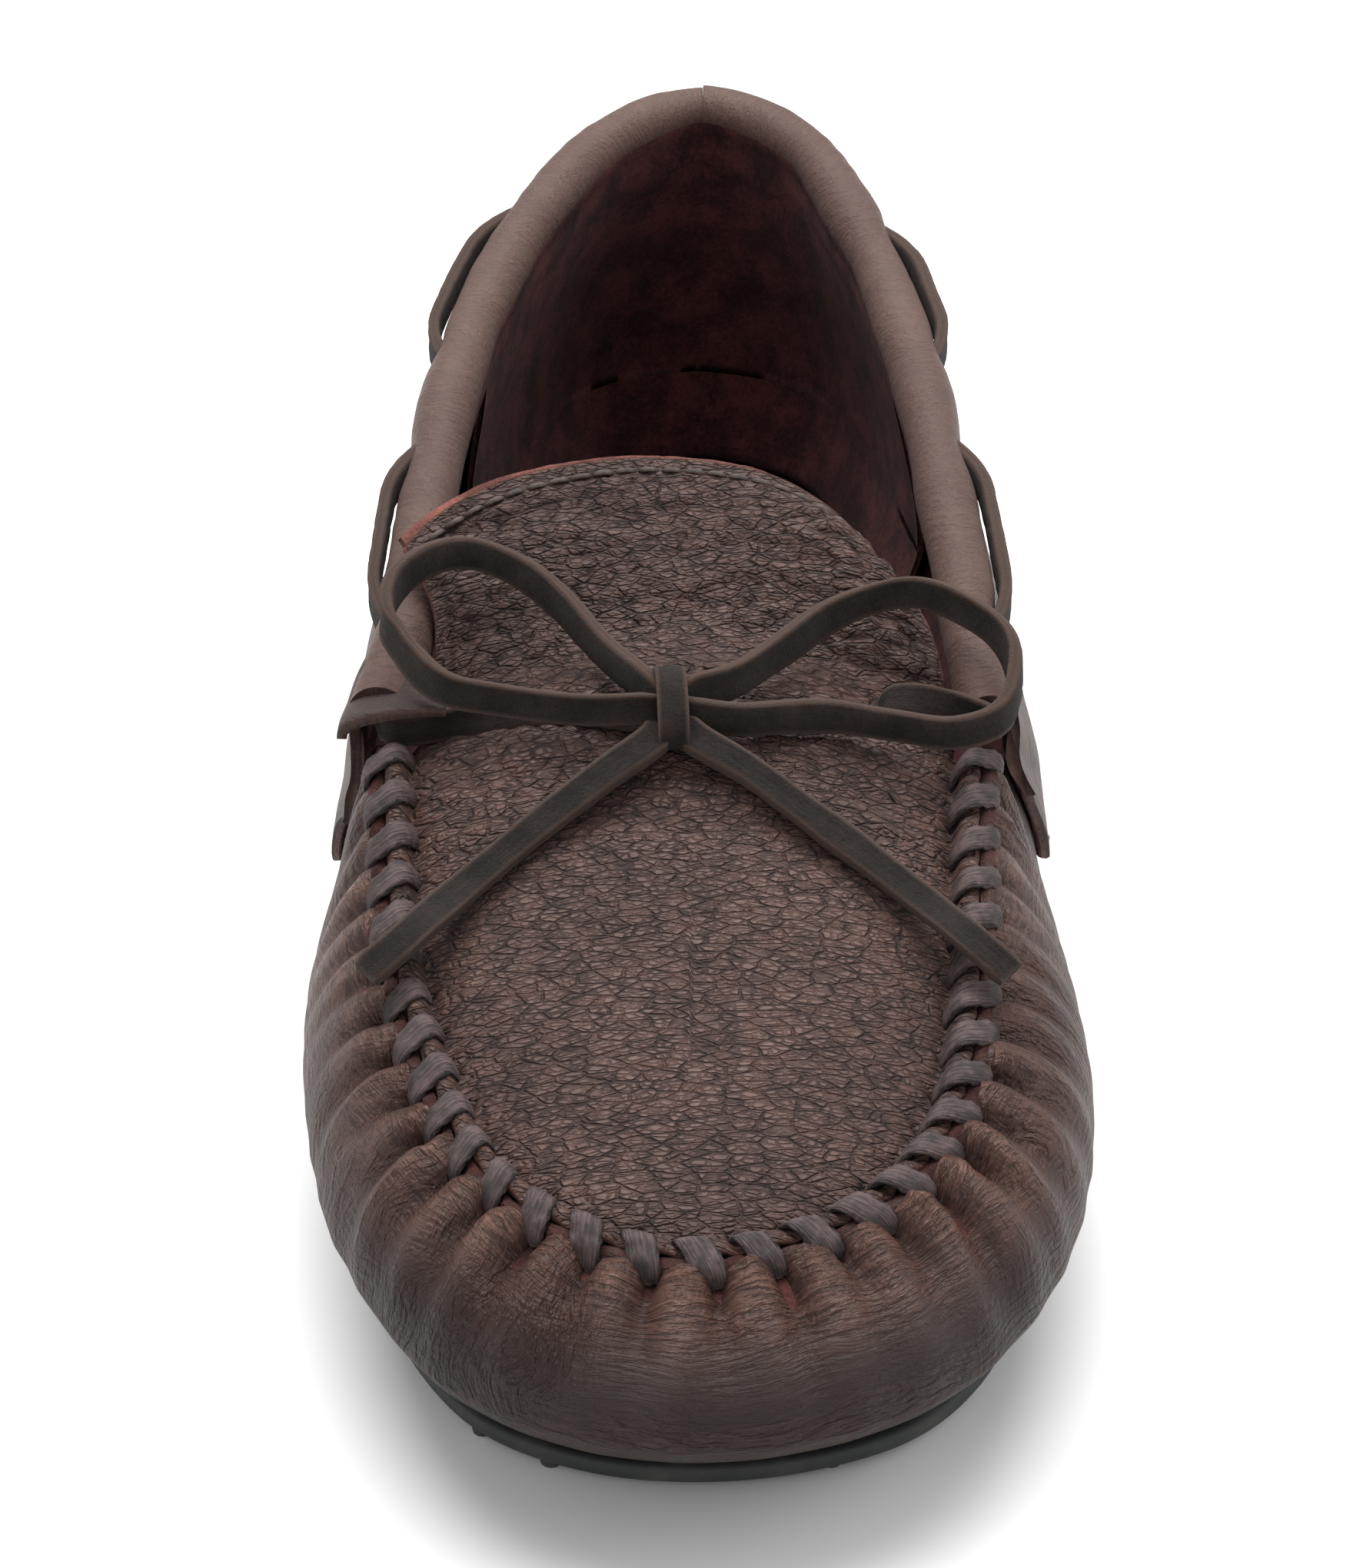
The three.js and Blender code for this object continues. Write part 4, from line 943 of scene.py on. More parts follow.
def lace_round_collar():
    """The lace from the plug's slit through the collar's windows to the knot."""
    ribs = np.linspace(FRONT_RIB + 0.06, 3 * FRONT_RIB - 0.06, 420)
    centre = collar_at(ribs)
    stand = np.where(
        ribs < HEEL_RIB,
        lace_stand_off(centre[:, 1], RIGHT_WINDOWS),
        lace_stand_off(centre[:, 1], LEFT_WINDOWS),
    )
    middle = centre + outward(collar_at, ribs) * stand[:, None]
    right, left = refined(on_last(LACE_FRONT_RIGHT))[::-1], refined(on_last(LACE_FRONT_LEFT))
    line = np.vstack([right[:-1], middle, left[1:]])
    lean = np.ones(len(line))
    lean[: len(right)] = np.linspace(0, 1, len(right))
    lean[-len(left):] = np.linspace(1, 0, len(left))
    across = lean[:, None] * UP + (1 - lean[:, None]) * np.array([0.0, 0.97, 0.25])
    band = flat_band("lace_collar_run", line, across, LACE_WIDTH, LACE_THICKNESS, 11)
    dress(band, LACE_SUEDE, "root", ["lace_collar"])


def knot():
    """One turn of the lace pulled tight over the strands that cross under it."""
    turn = np.linspace(-0.35 * math.pi, 1.75 * math.pi, 60)
    tilt = math.radians(24)
    y, z = 5.7 * np.cos(turn), 2.7 * np.sin(turn)
    centre = laid([KNOT_CENTRE])[0]
    line = centre + np.stack(
        [0.9 * np.sin(turn * 0.5), y * math.cos(tilt) - z * math.sin(tilt),
         y * math.sin(tilt) + z * math.cos(tilt)], 1)
    wrap = flat_band("knot_turn", line, np.broadcast_to([1.0, 0.0, 0.0], line.shape), 4.4, 1.7, 21)
    dress(wrap, LACE_SUEDE, "root", ["lace_knot"])


# ---- The wrap: the leather that comes up round the foot and is gathered into the plug ----
LIP_OUT = 2.1  # the wrap's outer skin ends this far outside the seam line
LIP_DROP = 0.9
LIP_STEPS = [(1.9, -0.42), (1.45, -0.15), (0.85, -0.1), (0.3, -0.25), (0.1, -1.6)]  # out, up from the seam
RIB_LENGTH = 24  # of the wrap's skin, from one rib to the next past its stitches
HOLE_OUT = 0.5 + STITCH_SLANT / 2  # stitch holes, in pitches, on the wrap's and the plug's side
HOLE_IN = 0.5 - STITCH_SLANT / 2


def hole_phase(rib, hole):
    """Signed distance to the nearest stitch hole in pitches, and that stitch's own strength."""
    place = station(rib) - hole
    number = np.round(place)
    pull = 0.7 + 0.6 * hashed(np.stack([number, number * 0], 1), 5)
    return place - number, pull


def stitched_share(rib):
    return 1 - smooth(np.abs(signed(rib)), 6.75, 7.05)


def toe_share(rib):
    """1 round the toe, where the wrap is gathered most, less along the sides."""
    return 1 - 0.6 * smooth(np.abs(signed(rib)), 2.5, 5.5)


def wrap_outer(ribs, low_steps, high_steps):
    """Rows of points on the wrap's smooth outer side, from the foot over the bulge to the seam."""
    foot, wide, out = around(FOOT, ribs), around(WIDE, ribs), outward_at(ribs)
    stitched = stitched_share(ribs)[:, None]
    edge = around(EDGE, ribs) + out * (0.25 + (LIP_OUT - 0.25) * stitched) - LIP_DROP * stitched * UP
    flat = np.array([1.0, 1.0, 0.0])
    low = bezier(foot, foot + UNDERSIDE_REACH * (wide - foot) * flat,
                 wide - UNDERSIDE_DROP * (wide - foot) * UP, wide, low_steps)
    full = (1 - 0.6 * smooth(np.abs(signed(ribs)), 4.5, FRONT_RIB))[:, None]
    rise = (edge - wide) * UP
    shoulder = edge + 0.5 * full * (wide - edge) * flat + 0.15 * (full - 1) * rise
    high = bezier(wide, wide + 0.65 * full * rise, shoulder, edge, high_steps)
    return np.concatenate([low[:-1], high])


def bottom_wrap():
    """The wrap's skin: gathered at every stitch hole, over a torn lip to its flesh side."""
    stitched = np.linspace(-FRONT_RIB, FRONT_RIB, STITCH_COUNT * COLUMNS_PER_STITCH + 1)
    stitched = rib_of(np.linspace(0, STITCH_COUNT, len(stitched)))
    ribs = np.concatenate([np.linspace(-HEEL_RIB, -FRONT_RIB, 90)[:-1], stitched,
                           np.linspace(FRONT_RIB, HEEL_RIB, 90)[1:-1]])
    low_steps = np.linspace(0, 1, 15)
    high_steps = 1 - np.linspace(1, 0, 34) ** 1.5
    base = wrap_outer(ribs, low_steps, high_steps)
    normals = cross_normals(base, True)
    if (normals[14] * outward_at(ribs)).sum() < 0:
        normals = -normals
    run = np.linalg.norm(np.diff(base, axis=0), axis=2)
    below = np.concatenate([np.cumsum(run[::-1], axis=0)[::-1], np.zeros((1, len(ribs)))])
    away, pull = hole_phase(ribs, HOLE_OUT)
    share = stitched_share(ribs) * pull * toe_share(ribs)
    width = 0.085 + 0.013 * below
    valley = bell(away, width) * np.exp(-below / 11.0)
    puff = np.sin(math.pi * away) ** 2 * bell(below, 8.5)
    lie_u = station(ribs) * STITCH_PITCH
    lie_u[np.abs(signed(ribs)) >= FRONT_RIB] = 0
    side = np.abs(signed(ribs)) - FRONT_RIB
    lie_u = np.where(signed(ribs) > FRONT_RIB, STITCH_COUNT * STITCH_PITCH + side * RIB_LENGTH, lie_u)
    lie_u = np.where(signed(ribs) < -FRONT_RIB, -side * RIB_LENGTH, lie_u)
    places = paired(lie_u[None], below)
    folds = swell(places / [3.6, 15.0], 1.0, 41) * bell(below, 17.0) * (1 - np.exp(-below / 3))
    ripples = swell(places / [9.0, 1.9], 1.0, 47) * bell(below, 6.0)
    slow = swell(base, 34.0, 43) * 0.5
    rise = share * (1.9 * puff - 3.3 * valley + 1.4 * folds + 0.55 * ripples)
    outer = base + normals * (rise + slow * smooth(below, 4, 20) * 0.8)[..., None]
    # The lip: over the cut edge to the wrap's inner side.
    out = outward_at(ribs)
    top = outer[-1]
    hole = (bell(away, 0.12) * share)[:, None]
    lip = []
    for s, z in LIP_STEPS:
        fade = s / LIP_STEPS[0][0]
        dip = (0.9 * hole * fade) * UP
        wavy = 0.5 * swell(np.stack([lie_u, 0 * lie_u + s], 1), 2.2, 53)[:, None]
        swollen = (np.sin(math.pi * away) ** 2 * share)[:, None] * fade
        cut = around(EDGE, ribs) + out * (s - 0.7 * hole * fade + 0.7 * swollen)
        cut = cut + (z + wavy * 0.6 + 0.5 * swollen) * UP - dip
        plain = top - out * (LIP_OUT - s) * 0.95 + (LIP_OUT - s) * 0.06 * UP
        share_cut = stitched_share(ribs)[:, None]
        lip.append(cut * share_cut + plain * (1 - share_cut))
    inner = (base - normals * WRAP_THICKNESS)[::-2]
    inner = inner[1:]
    inner[-1] = base[0] + WRAP_THICKNESS * UP
    grid = np.concatenate([outer, np.array(lip), inner])
    rows, count = grid.shape[:2]
    lie = np.zeros((rows, count + 1, 2))
    lie[..., 0] = np.append(lie_u, STITCH_COUNT * STITCH_PITCH + 7 * RIB_LENGTH + 2)
    lie[: len(outer), :count, 1] = -below
    lie[: len(outer), count, 1] = -below[:, 0]
    lie[len(outer):, :, 1] = np.arange(rows - len(outer))[:, None] * 0.6
    raw = np.zeros((rows, count))
    torn = swell(np.stack([lie_u, 0 * lie_u], 1), 1.6, 59)
    raw[len(outer): len(outer) + 4] = np.clip(0.7 + 0.8 * torn, 0.15, 1)
    raw[len(outer) - 1] = np.clip(0.4 + 0.8 * torn, 0, 1)
    near = np.zeros((rows, count))
    near[: len(outer)] = bell(below, 9.0) * np.clip(share, 0, 1)
    # Painted shade darkens the stitch holes and the valleys running down from them.
    painted_shade = np.zeros((rows, count))
    painted_shade[: len(outer)] = bell(away, 0.13) * bell(below, 7.0) * np.clip(share * 1.6, 0, 1)
    # Painted shade: the wrap's lower side round the toe is darkened to stand for the shade under the toe.
    toe = toe_share(ribs) ** 1.5
    painted_shade[: len(outer)] = np.maximum(painted_shade[: len(outer)], toe * smooth(below, 5, 20))
    rub = np.zeros((rows, count))
    rub[: len(outer)] = np.clip(0.35 * puff * share + 0.25 * smooth(folds, 0.1, 0.6), 0, 1)
    marks = {"raw": raw, "gathered": near, "painted_shade": painted_shade, "rub": rub}
    slots = (np.arange(rows) >= len(outer) + 4).astype(int)
    wrap = grid_object("bottom_wrap_skin", grid, lie, marks, round_columns=True, cap_rows=True,
                       row_slots=slots)
    dress(wrap, [DRAWN_LEATHER, FLESH_SUEDE], "root", ["bottom_wrap"])


# ---- The plug and tongue: one skin, from the sewn ridge to the tongue's cut tip ----
FIELD_ROWS = 54
RIDGE = [  # out from the seam line, share of the way from the field up to the ridge's top
    (0.05, 0.55), (-0.05, 0.82), (-0.55, 0.97), (-1.2, 1.0), (-1.9, 0.93), (-2.6, 0.72), (-3.2, 0.36),
    (-3.7, 0.02),
]
RIDGE_FOOT = -3.9
RIDGE_TOP = 0.9
SPINE_START = -98.0
SPINE_END = -22.0


def field_height(points):
    """Height of the plug's smooth field at places in plan, from the arched lines across it."""
    inset = 1.05
    ribs = np.linspace(0.02, FRONT_RIB, 220)
    left = around(EDGE, -ribs) - outward_at(-ribs) * inset - RIDGE_HEIGHT * UP
    right = around(EDGE, ribs) - outward_at(ribs) * inset - RIDGE_HEIGHT * UP
    corners = on_last([TONGUE_LEFT[0], TONGUE_RIGHT[0]])
    left, right = np.vstack([left, corners[:1]]), np.vstack([right, corners[1:]])
    crown = np.append(PLUG_CROWN * (ribs / FRONT_RIB) ** 0.85, TONGUE_CROWN)
    x, y = points[:, 0], points[:, 1]
    low, high = np.zeros(len(x)), np.full(len(x), len(crown) - 1.0)
    for _ in range(26):
        middle = (low + high) / 2
        k = np.minimum(middle.astype(int), len(crown) - 2)
        w = (middle - k)[:, None]
        a, b = left[k] * (1 - w) + left[k + 1] * w, right[k] * (1 - w) + right[k + 1] * w
        t = (x - a[:, 0]) / (b[:, 0] - a[:, 0])
        behind = a[:, 1] + (b[:, 1] - a[:, 1]) * t > y
        low, high = np.where(behind, low, middle), np.where(behind, middle, high)
    arch = 1 - np.clip(np.abs(2 * t - 1), 0, 1) ** CROWN_FLATNESS
    return a[:, 2] + (b[:, 2] - a[:, 2]) * t + np.interp(middle, np.arange(len(crown)), crown) * arch


def plug_columns(ribs):
    """Rows of points from the ridge's cut edge, over the ridge and across the field to the middle."""
    seam, out = around(EDGE, ribs), outward_at(ribs)
    away, pull = hole_phase(ribs, HOLE_IN)
    share = stitched_share(ribs) * pull
    tight = (bell(away, 0.15) * share)[:, None]
    foot = seam + out * RIDGE_FOOT
    foot[:, 2] = field_height(foot) - 0.35
    rows = []
    for s, k in RIDGE:
        place = seam + out * s
        top = seam[:, 2] + RIDGE_TOP + 0.3 * np.sin(math.pi * away) ** 2
        place[:, 2] = foot[:, 2] + (top - foot[:, 2]) * k
        place -= tight * (0.75 * k * UP - 0.35 * out * k)
        rows.append(place)
    middle = np.zeros_like(seam)
    middle[:, 1] = SPINE_START + (SPINE_END - SPINE_START) * np.abs(ribs) / FRONT_RIB
    middle *= np.append(LAST_SCALE, 1.0)
    shares = np.linspace(0, 1, FIELD_ROWS + 1)
    for share_in in shares:
        place = foot * (1 - share_in) + middle * share_in
        place[:, 2] = field_height(place)
        place[:, 2] -= 0.35 * math.exp(-share_in * 38 / 1.2)
        rows.append(place)
    grid = np.array(rows)
    inward = np.linalg.norm(grid - foot[None], axis=2)
    inward[: len(RIDGE)] = 0
    # Painted shade: the stitch holes and the short lines running in from them are darkened through this
    # mark, as well as sunk into the surface.
    painted_shade = bell(away, 0.12) * bell(inward, 1.1) * share
    painted_shade[: len(RIDGE) - 2] = 0
    line = bell(away, 0.06) * np.exp(-inward / 4.5) * share
    line[: len(RIDGE)] = 0
    grid[..., 2] -= 0.9 * painted_shade + 0.3 * line
    return grid, np.clip(painted_shade * 1.5 + 0.35 * line, 0, 1), inward


def relief(lie, y):
    """Height of the pebbles and folds of the skin: faint at the toe, deep at the instep and tongue."""
    deep = 0.06 + 0.36 * smooth(y, -90, -30) + 0.16 * smooth(lie[..., 0], 0, 34) * smooth(y, -60, -20)
    bent = lie + 1.6 * np.stack([swell(lie, 9.0, 61), swell(lie, 9.0, 62)], -1)
    cells = pebbles(bent, np.array([5.0, 2.6]), 63)
    small = pebbles(bent, np.array([2.6, 1.5]), 65)
    folds = swell(bent, np.array([17.0, 3.4]), 67) * smooth(y, -75, -30)
    broad = swell(lie, 14.0, 69) * 0.5
    height = deep * (cells + 0.45 * small) + 0.45 * folds + 0.6 * broad * smooth(y, -100, -60)
    return height, np.clip(cells, 0, 1)


def tongue_patch(root, rows):
    """The tongue's smooth surface from its root line, both sides and its tip."""
    left = Rail(np.vstack([root[:1], on_last(TONGUE_LEFT), on_last(TONGUE_TIP[:1])]))
    right = Rail(np.vstack([root[-1:], on_last(TONGUE_RIGHT), on_last(TONGUE_TIP[-1:])]))
    tip = Rail(on_last(TONGUE_TIP))
    u = lengths(root)[:, None] / lengths(root)[-1]
    v = np.linspace(0, 1, rows)
    span = tip.at(u[:, 0])
    ends_left, ends_right = left.at(v), right.at(v)
    low = root[0] * (1 - u) + root[-1] * u
    high = span[0] * (1 - u) + span[-1] * u
    grid = []
    for k, share in enumerate(v):
        sides = ends_left[k] * (1 - u) + ends_right[k] * u
        grid.append(sides + root * (1 - share) + span * share - low * (1 - share) - high * share)
    return np.array(grid)


def upper_skin():
    """Plug and tongue as one blended skin. Gives back the tongue's smooth surface."""
    ribs = rib_of(np.linspace(0, STITCH_COUNT, STITCH_COUNT * COLUMNS_PER_STITCH + 1))
    grid, painted_shade, inward = plug_columns(ribs)
    lie = grid[..., :2].copy()
    height, cells = relief(lie, lie[..., 1])
    normals = normals_towards(grid, -2, len(ribs) // 4)
    calm = np.ones(grid.shape[:2])
    calm[: len(RIDGE)] = 0.25
    calm *= smooth(inward, 0.0, 3.0) * 0.75 + 0.25
    base = grid.copy()
    grid = grid + normals * (height * calm)[..., None]
    grid[-1] = (grid[-1] + grid[-1, ::-1]) / 2
    # The tongue goes on from the plug's last line, left edge to right edge.
    root = np.vstack([grid[len(RIDGE):, 0], grid[len(RIDGE):, -1][::-1][1:]])
    smooth_root = np.vstack([base[len(RIDGE):, 0], base[len(RIDGE):, -1][::-1][1:]])
    patch = tongue_patch(smooth_root, 64)
    steps = np.linalg.norm(np.diff(patch, axis=0), axis=2)
    run = np.concatenate([np.zeros((1, len(root))), np.cumsum(steps, 0)])
    tongue_lie = paired(patch[..., 0], smooth_root[None, :, 1] + run)
    tongue_height, tongue_cells = relief(tongue_lie, tongue_lie[..., 1])
    edge = np.minimum(run[-1][None] - run, 99)
    u_run = lengths(patch[30])
    side = np.minimum(u_run, u_run[-1] - u_run)[None] + 60 * (1 - smooth(run, 6, 14))
    edge = np.minimum(edge, side)
    groove = bell(edge - TONGUE_STITCH_INSET, 0.45) * smooth(run, 8, 14)
    margin = 1 - smooth(edge, 1.6, 4.2)
    tongue_normals = normals_towards(patch, 30, 50)
    drop = tongue_height * (1 - 0.75 * margin) - 0.45 * groove - 0.25 * margin
    skin = patch + tongue_normals * drop[..., None]
    fade = (1 - smooth(np.arange(64), 0, 8))[:, None, None]
    skin += (root - skin[0])[None] * fade
    # One mesh: the plug's columns, then the tongue's rows, merged where they meet.
    plug = grid_object("plug_half", grid, lie, closed_marks(painted_shade, cells, None, len(RIDGE)))
    # Painted shade darkens the stitch groove and the turned-down margin of the tongue.
    tongue_painted_shade = 0.5 * groove + 0.18 * margin
    tongue = grid_object("tongue_half", skin, tongue_lie, closed_marks(tongue_painted_shade, tongue_cells, edge, 0))
    piece = merged("plug_and_tongue", [plug, tongue], 0.02)
    face_up(piece)
    shell = piece.modifiers.new("hide", "SOLIDIFY")
    shell.thickness, shell.offset, shell.use_even_offset = PLUG_THICKNESS * MM, -1.0, False
    shell.material_offset, shell.material_offset_rim = 1, 2
    dress(piece, [PEBBLED_LEATHER, FLESH_SUEDE, RAW_SUEDE], None)
    made = settled(piece, "plug_and_tongue_skin")
    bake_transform(made)
    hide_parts("plug", "tongue")
    return patch


def closed_marks(painted_shade, cells, edge, ridge_rows):
    raw = np.zeros_like(painted_shade)
    if ridge_rows:
        raw[0], raw[1] = 1.0, 0.35
    if edge is not None:
        raw = np.maximum(raw, 1 - smooth(edge, 0.0, 0.35))
    rub = 0.18 * smooth(cells, 0.3, 1.0)
    return {"painted_shade": painted_shade, "raw": raw, "rub": rub}


def merged(name, pieces, distance):
    """Joins meshes into one and welds the points that meet; distance in millimetres."""
    work = bmesh.new()
    for piece in pieces:
        work.from_mesh(piece.data)
    bmesh.ops.remove_doubles(work, verts=work.verts, dist=distance * MM)
    bmesh.ops.recalc_face_normals(work, faces=work.faces)
    mesh = bpy.data.meshes.new(name)
    work.to_mesh(mesh)
    work.free()
    for piece in pieces:
        bpy.data.objects.remove(piece)
    obj = bpy.data.objects.new(name, mesh)
    bpy.context.scene.collection.objects.link(obj)
    return obj


def face_up(obj):
    """Turns an open sheet so that most of it faces up."""
    if sum(f.normal.z * f.area for f in obj.data.polygons) < 0:
        obj.data.flip_normals()


def settled(obj, name):
    """The evaluated object as a plain mesh without modifiers."""
    evaluated = obj.evaluated_get(bpy.context.evaluated_depsgraph_get())
    mesh = bpy.data.meshes.new_from_object(evaluated)
    done = bpy.data.objects.new(name, mesh)
    bpy.context.scene.collection.objects.link(done)
    bpy.data.objects.remove(obj)
    return done


def tongue_lining(patch):
    """The tongue's suede lining, whose cut edge shows a little past the outer skin."""
    normals = normals_towards(patch, 30, 50)
    inset = patch[6:, 2:-2]
    down = normals[6:, 2:-2]
    reach = inset[-1] - inset[-2]
    reach *= LINING_PEEK / np.linalg.norm(reach, axis=1, keepdims=True)
    top, bottom = (inset - down * (PLUG_THICKNESS + depth) for depth in TONGUE_LINING_DEPTHS)
    fuzz = 0.25 * swell(top[-1], 1.1, 71)[:, None]
    for sheet in (top, bottom):
        sheet[-1] += reach + fuzz * down[-1]
    grid = np.concatenate([top, bottom[::-1]])
    marks = {"rub": np.zeros(grid.shape[:2])}
    slots = np.zeros(len(grid), int)
    slots[len(top) - 2: len(top) + 1] = 1
    lining = grid_object("tongue_lining_suede", grid, grid[..., :2], marks, round_rows=True,
                         cap_columns=True, row_slots=slots)
    dress(lining, [FLESH_SUEDE, RAW_SUEDE], "tongue", ["tongue_lining"])


# ---- The quarters ----
def quarter_section(ribs):
    """Closed loops: up the wall, round the collar's roll, down the lining and back to the hem."""
    wide = around(WIDE, ribs) + outward_at(ribs) * QUARTER_STAND_OFF
    centre, out = collar_at(ribs), outward(collar_at, ribs)
    angles = np.radians(np.linspace(0, ROLL_TURN, 26))[:, None, None]
    radius = COLLAR_RADIUS * (1 + 0.035 * swell(np.stack([ribs * 2.2, 0 * ribs], 1), 1.0, 81))[:, None]
    roll = centre + radius * np.cos(angles) * out + radius * np.sin(angles) * UP
    meet = roll[0]
    height = (meet - wide) * UP
    front = np.minimum(ribs - FRONT_RIB, 3 * FRONT_RIB - ribs)
    rise = np.where(ribs < HEEL_RIB, HEM_RISE_RIGHT, HEM_RISE) * (1 - smooth(front, 0, HEM_RISE_RIBS))
    curve = (wide, wide + 0.45 * height, meet - 0.3 * height, meet)
    hem = np.where(rise[:, None] < 1, wide + LAP * (np.minimum(rise, 1) - 1)[:, None] * UP,
                   bezier(*curve, np.maximum(rise - 1, 0)[None])[0])
    start = np.maximum(rise - 1, 0) + HEM_STEP * np.minimum(rise, 1)
    wall = bezier(*curve, start[None] + (1 - start)[None] * np.linspace(0, 1, 26)[:, None])[:-1]
    hem_rows = np.linspace(0, 1, 8)[:-1, None, None] * (wall[0] - hem) + hem
    side = np.concatenate([hem_rows, wall])
    hug_wrap(side, ribs, front, meet)
    hem = side[0]
    bottom = wide - out * QUARTER_LINING_INSET
    step = wide - out * QUARTER_THICKNESS
    bottom[:, 2] = step[:, 2] = around(EDGE, ribs)[:, 2] + 1.5
    end = roll[-1]
    lining = bezier(end, end - 0.3 * (end - bottom) * UP, bottom + 0.4 * (end - bottom) * UP, bottom,
                    np.linspace(0, 1, 16))[1:]
    hem_in = hem - out * QUARTER_THICKNESS
    inner = np.linspace(0, 1, 5)[:, None, None] * (hem_in - step) + step
    # Towards the front end the lining closes onto the wall.
    thin = (1 - smooth(front, 0.9, 1.8))[None, :, None]
    back = (side - out * QUARTER_THICKNESS)[::-1]
    turn = len(back) - 7
    lining += (back[np.linspace(0, turn, len(lining)).astype(int)] - lining) * thin
    inner += (back[np.linspace(turn, len(back) - 1, len(inner)).astype(int)] - inner) * thin
    under = np.stack([hem_in - 0.2 * UP + out * 0.4, hem - 0.35 * UP - out * 0.5])
    parts = [side[: len(hem_rows)], side[len(hem_rows):], roll, lining, inner, under]
    return np.concatenate(parts), [len(part) for part in parts]


CORNER_OUT_RIGHT = 1.6
CORNER_OUT_LEFT = -0.8


def hug_wrap(side, ribs, front, meet):
    """Draws the quarters' front ends in onto the wrap, and turns the right one's corner out a little."""
    profile = wrap_outer(ribs, np.array([0.0, 1.0]), np.linspace(0, 1, 40))[1:]
    out = outward_at(ribs)
    held = 1 - smooth(front, 0.1, 1.6)
    for c in np.flatnonzero(front < 1.6):
        z = side[:, c, 2]
        top = profile[-1, c, 2]
        share = held[c] * (1 - smooth(z, top - 7, max(meet[c, 2] - 0.5, top)))
        corner = bell(z - z[0], 3.5) * (1 - smooth(front[c], 0, 0.3))
        turned = CORNER_OUT_RIGHT if ribs[c] < HEEL_RIB else CORNER_OUT_LEFT
        for k in (0, 1):
            near = np.interp(z, profile[:, c, 2], profile[:, c, k]) + out[c, k] * QUARTER_STAND_OFF
            side[:, c, k] += (near - side[:, c, k]) * share + corner * out[c, k] * turned


WINDOW_DRAW = 5.0  # how far from a window's mouth the lace draws the roll in


def quarter(name, node, first, last, seed):
    """One side of the upper, from its front end to the seam at the heel."""
    ribs = np.linspace(first, last, 230)
    grid, counts = quarter_section(ribs)
    ends = np.cumsum(counts)
    centre = collar_at(ribs)
    out = outward(collar_at, ribs)
    run = lengths(centre)
    middle = len(ribs) // 2
    up_run = lengths(grid[:, middle])
    places = paired(run[None], up_run[:, None])
    normals = normals_towards(grid, ends[0] + 10, middle, out[middle])
    ease = np.ones(len(grid))
    ease[ends[2]:] = 0.3
    heave = 0.3 * swell(places, 16.0, seed) + 0.1 * swell(places, np.array([2.4, 8.0]), seed + 1)
    # Where the lace goes through the roll the leather is drawn in, and painted shade darkens each window's
    # mouth.
    windows = RIGHT_WINDOWS if first < HEEL_RIB else LEFT_WINDOWS
    painted_shade = np.zeros(grid.shape[:2])
    side = grid - centre[None]
    sideways = (side * out[None]).sum(2)
    for mouth in np.array(windows).ravel():
        along = (centre[:, 1] - mouth)[None] / WINDOW_DRAW
        heave -= 0.9 * bell(along, 1.0) * bell(side[..., 2], 3.2) * (sideways > 0)
        dark = 0.8 * bell(along * 1.4, 1.0) * bell(side[..., 2], 2.6) * (sideways > 2.5)
        painted_shade = np.maximum(painted_shade, dark)
    grid = grid + normals * (heave * ease[:, None])[..., None]
    seam_row = np.abs(up_run - up_run[ends[0]] + LAP * 0.45)[:, None]
    wall = np.zeros(grid.shape[:2])
    wall[: ends[1]] = (1 - smooth(np.linspace(0, 1, ends[1]), 0.55, 1.0))[:, None]
    raw = np.zeros(grid.shape[:2])
    raw[ends[4]:] = 1
    raw[0] = 0.6
    front_end = 0 if first < HEEL_RIB else -1
    raw[:, front_end] = 1
    # Painted shade: a dark line along the hem near its stitches.
    painted_shade[: ends[0]] = np.maximum(painted_shade[: ends[0]], 0.35 * bell(seam_row[: ends[0]], 0.5))
    rub = 0.5 * smooth(np.sin(np.linspace(0, math.pi, len(grid))), 0.7, 1.0)[:, None]
    rub = np.broadcast_to(rub, grid.shape[:2])
    slots = np.zeros(len(grid), int)
    slots[ends[2] - 5: ends[4]] = 1
    obj = grid_object(name, grid, places, {"wall": wall, "raw": raw, "painted_shade": painted_shade, "rub": rub},
                      round_rows=True, cap_columns=True, row_slots=slots)
    dress(obj, [COLLAR_LEATHER, FLESH_SUEDE], "root", [node])


TAB_FRONT = [
    [-49.7, 50.0], [-49.3, 51.3], [-47.6, 52.6], [-44.5, 53.6], [-41, 54.3], [-37.5, 54.7], [-34.4, 54.8],
]
TAB_FRONT_Y = -31.2
TAB_BACK_Y = -13.0
TAB_THICKNESS = 1.4


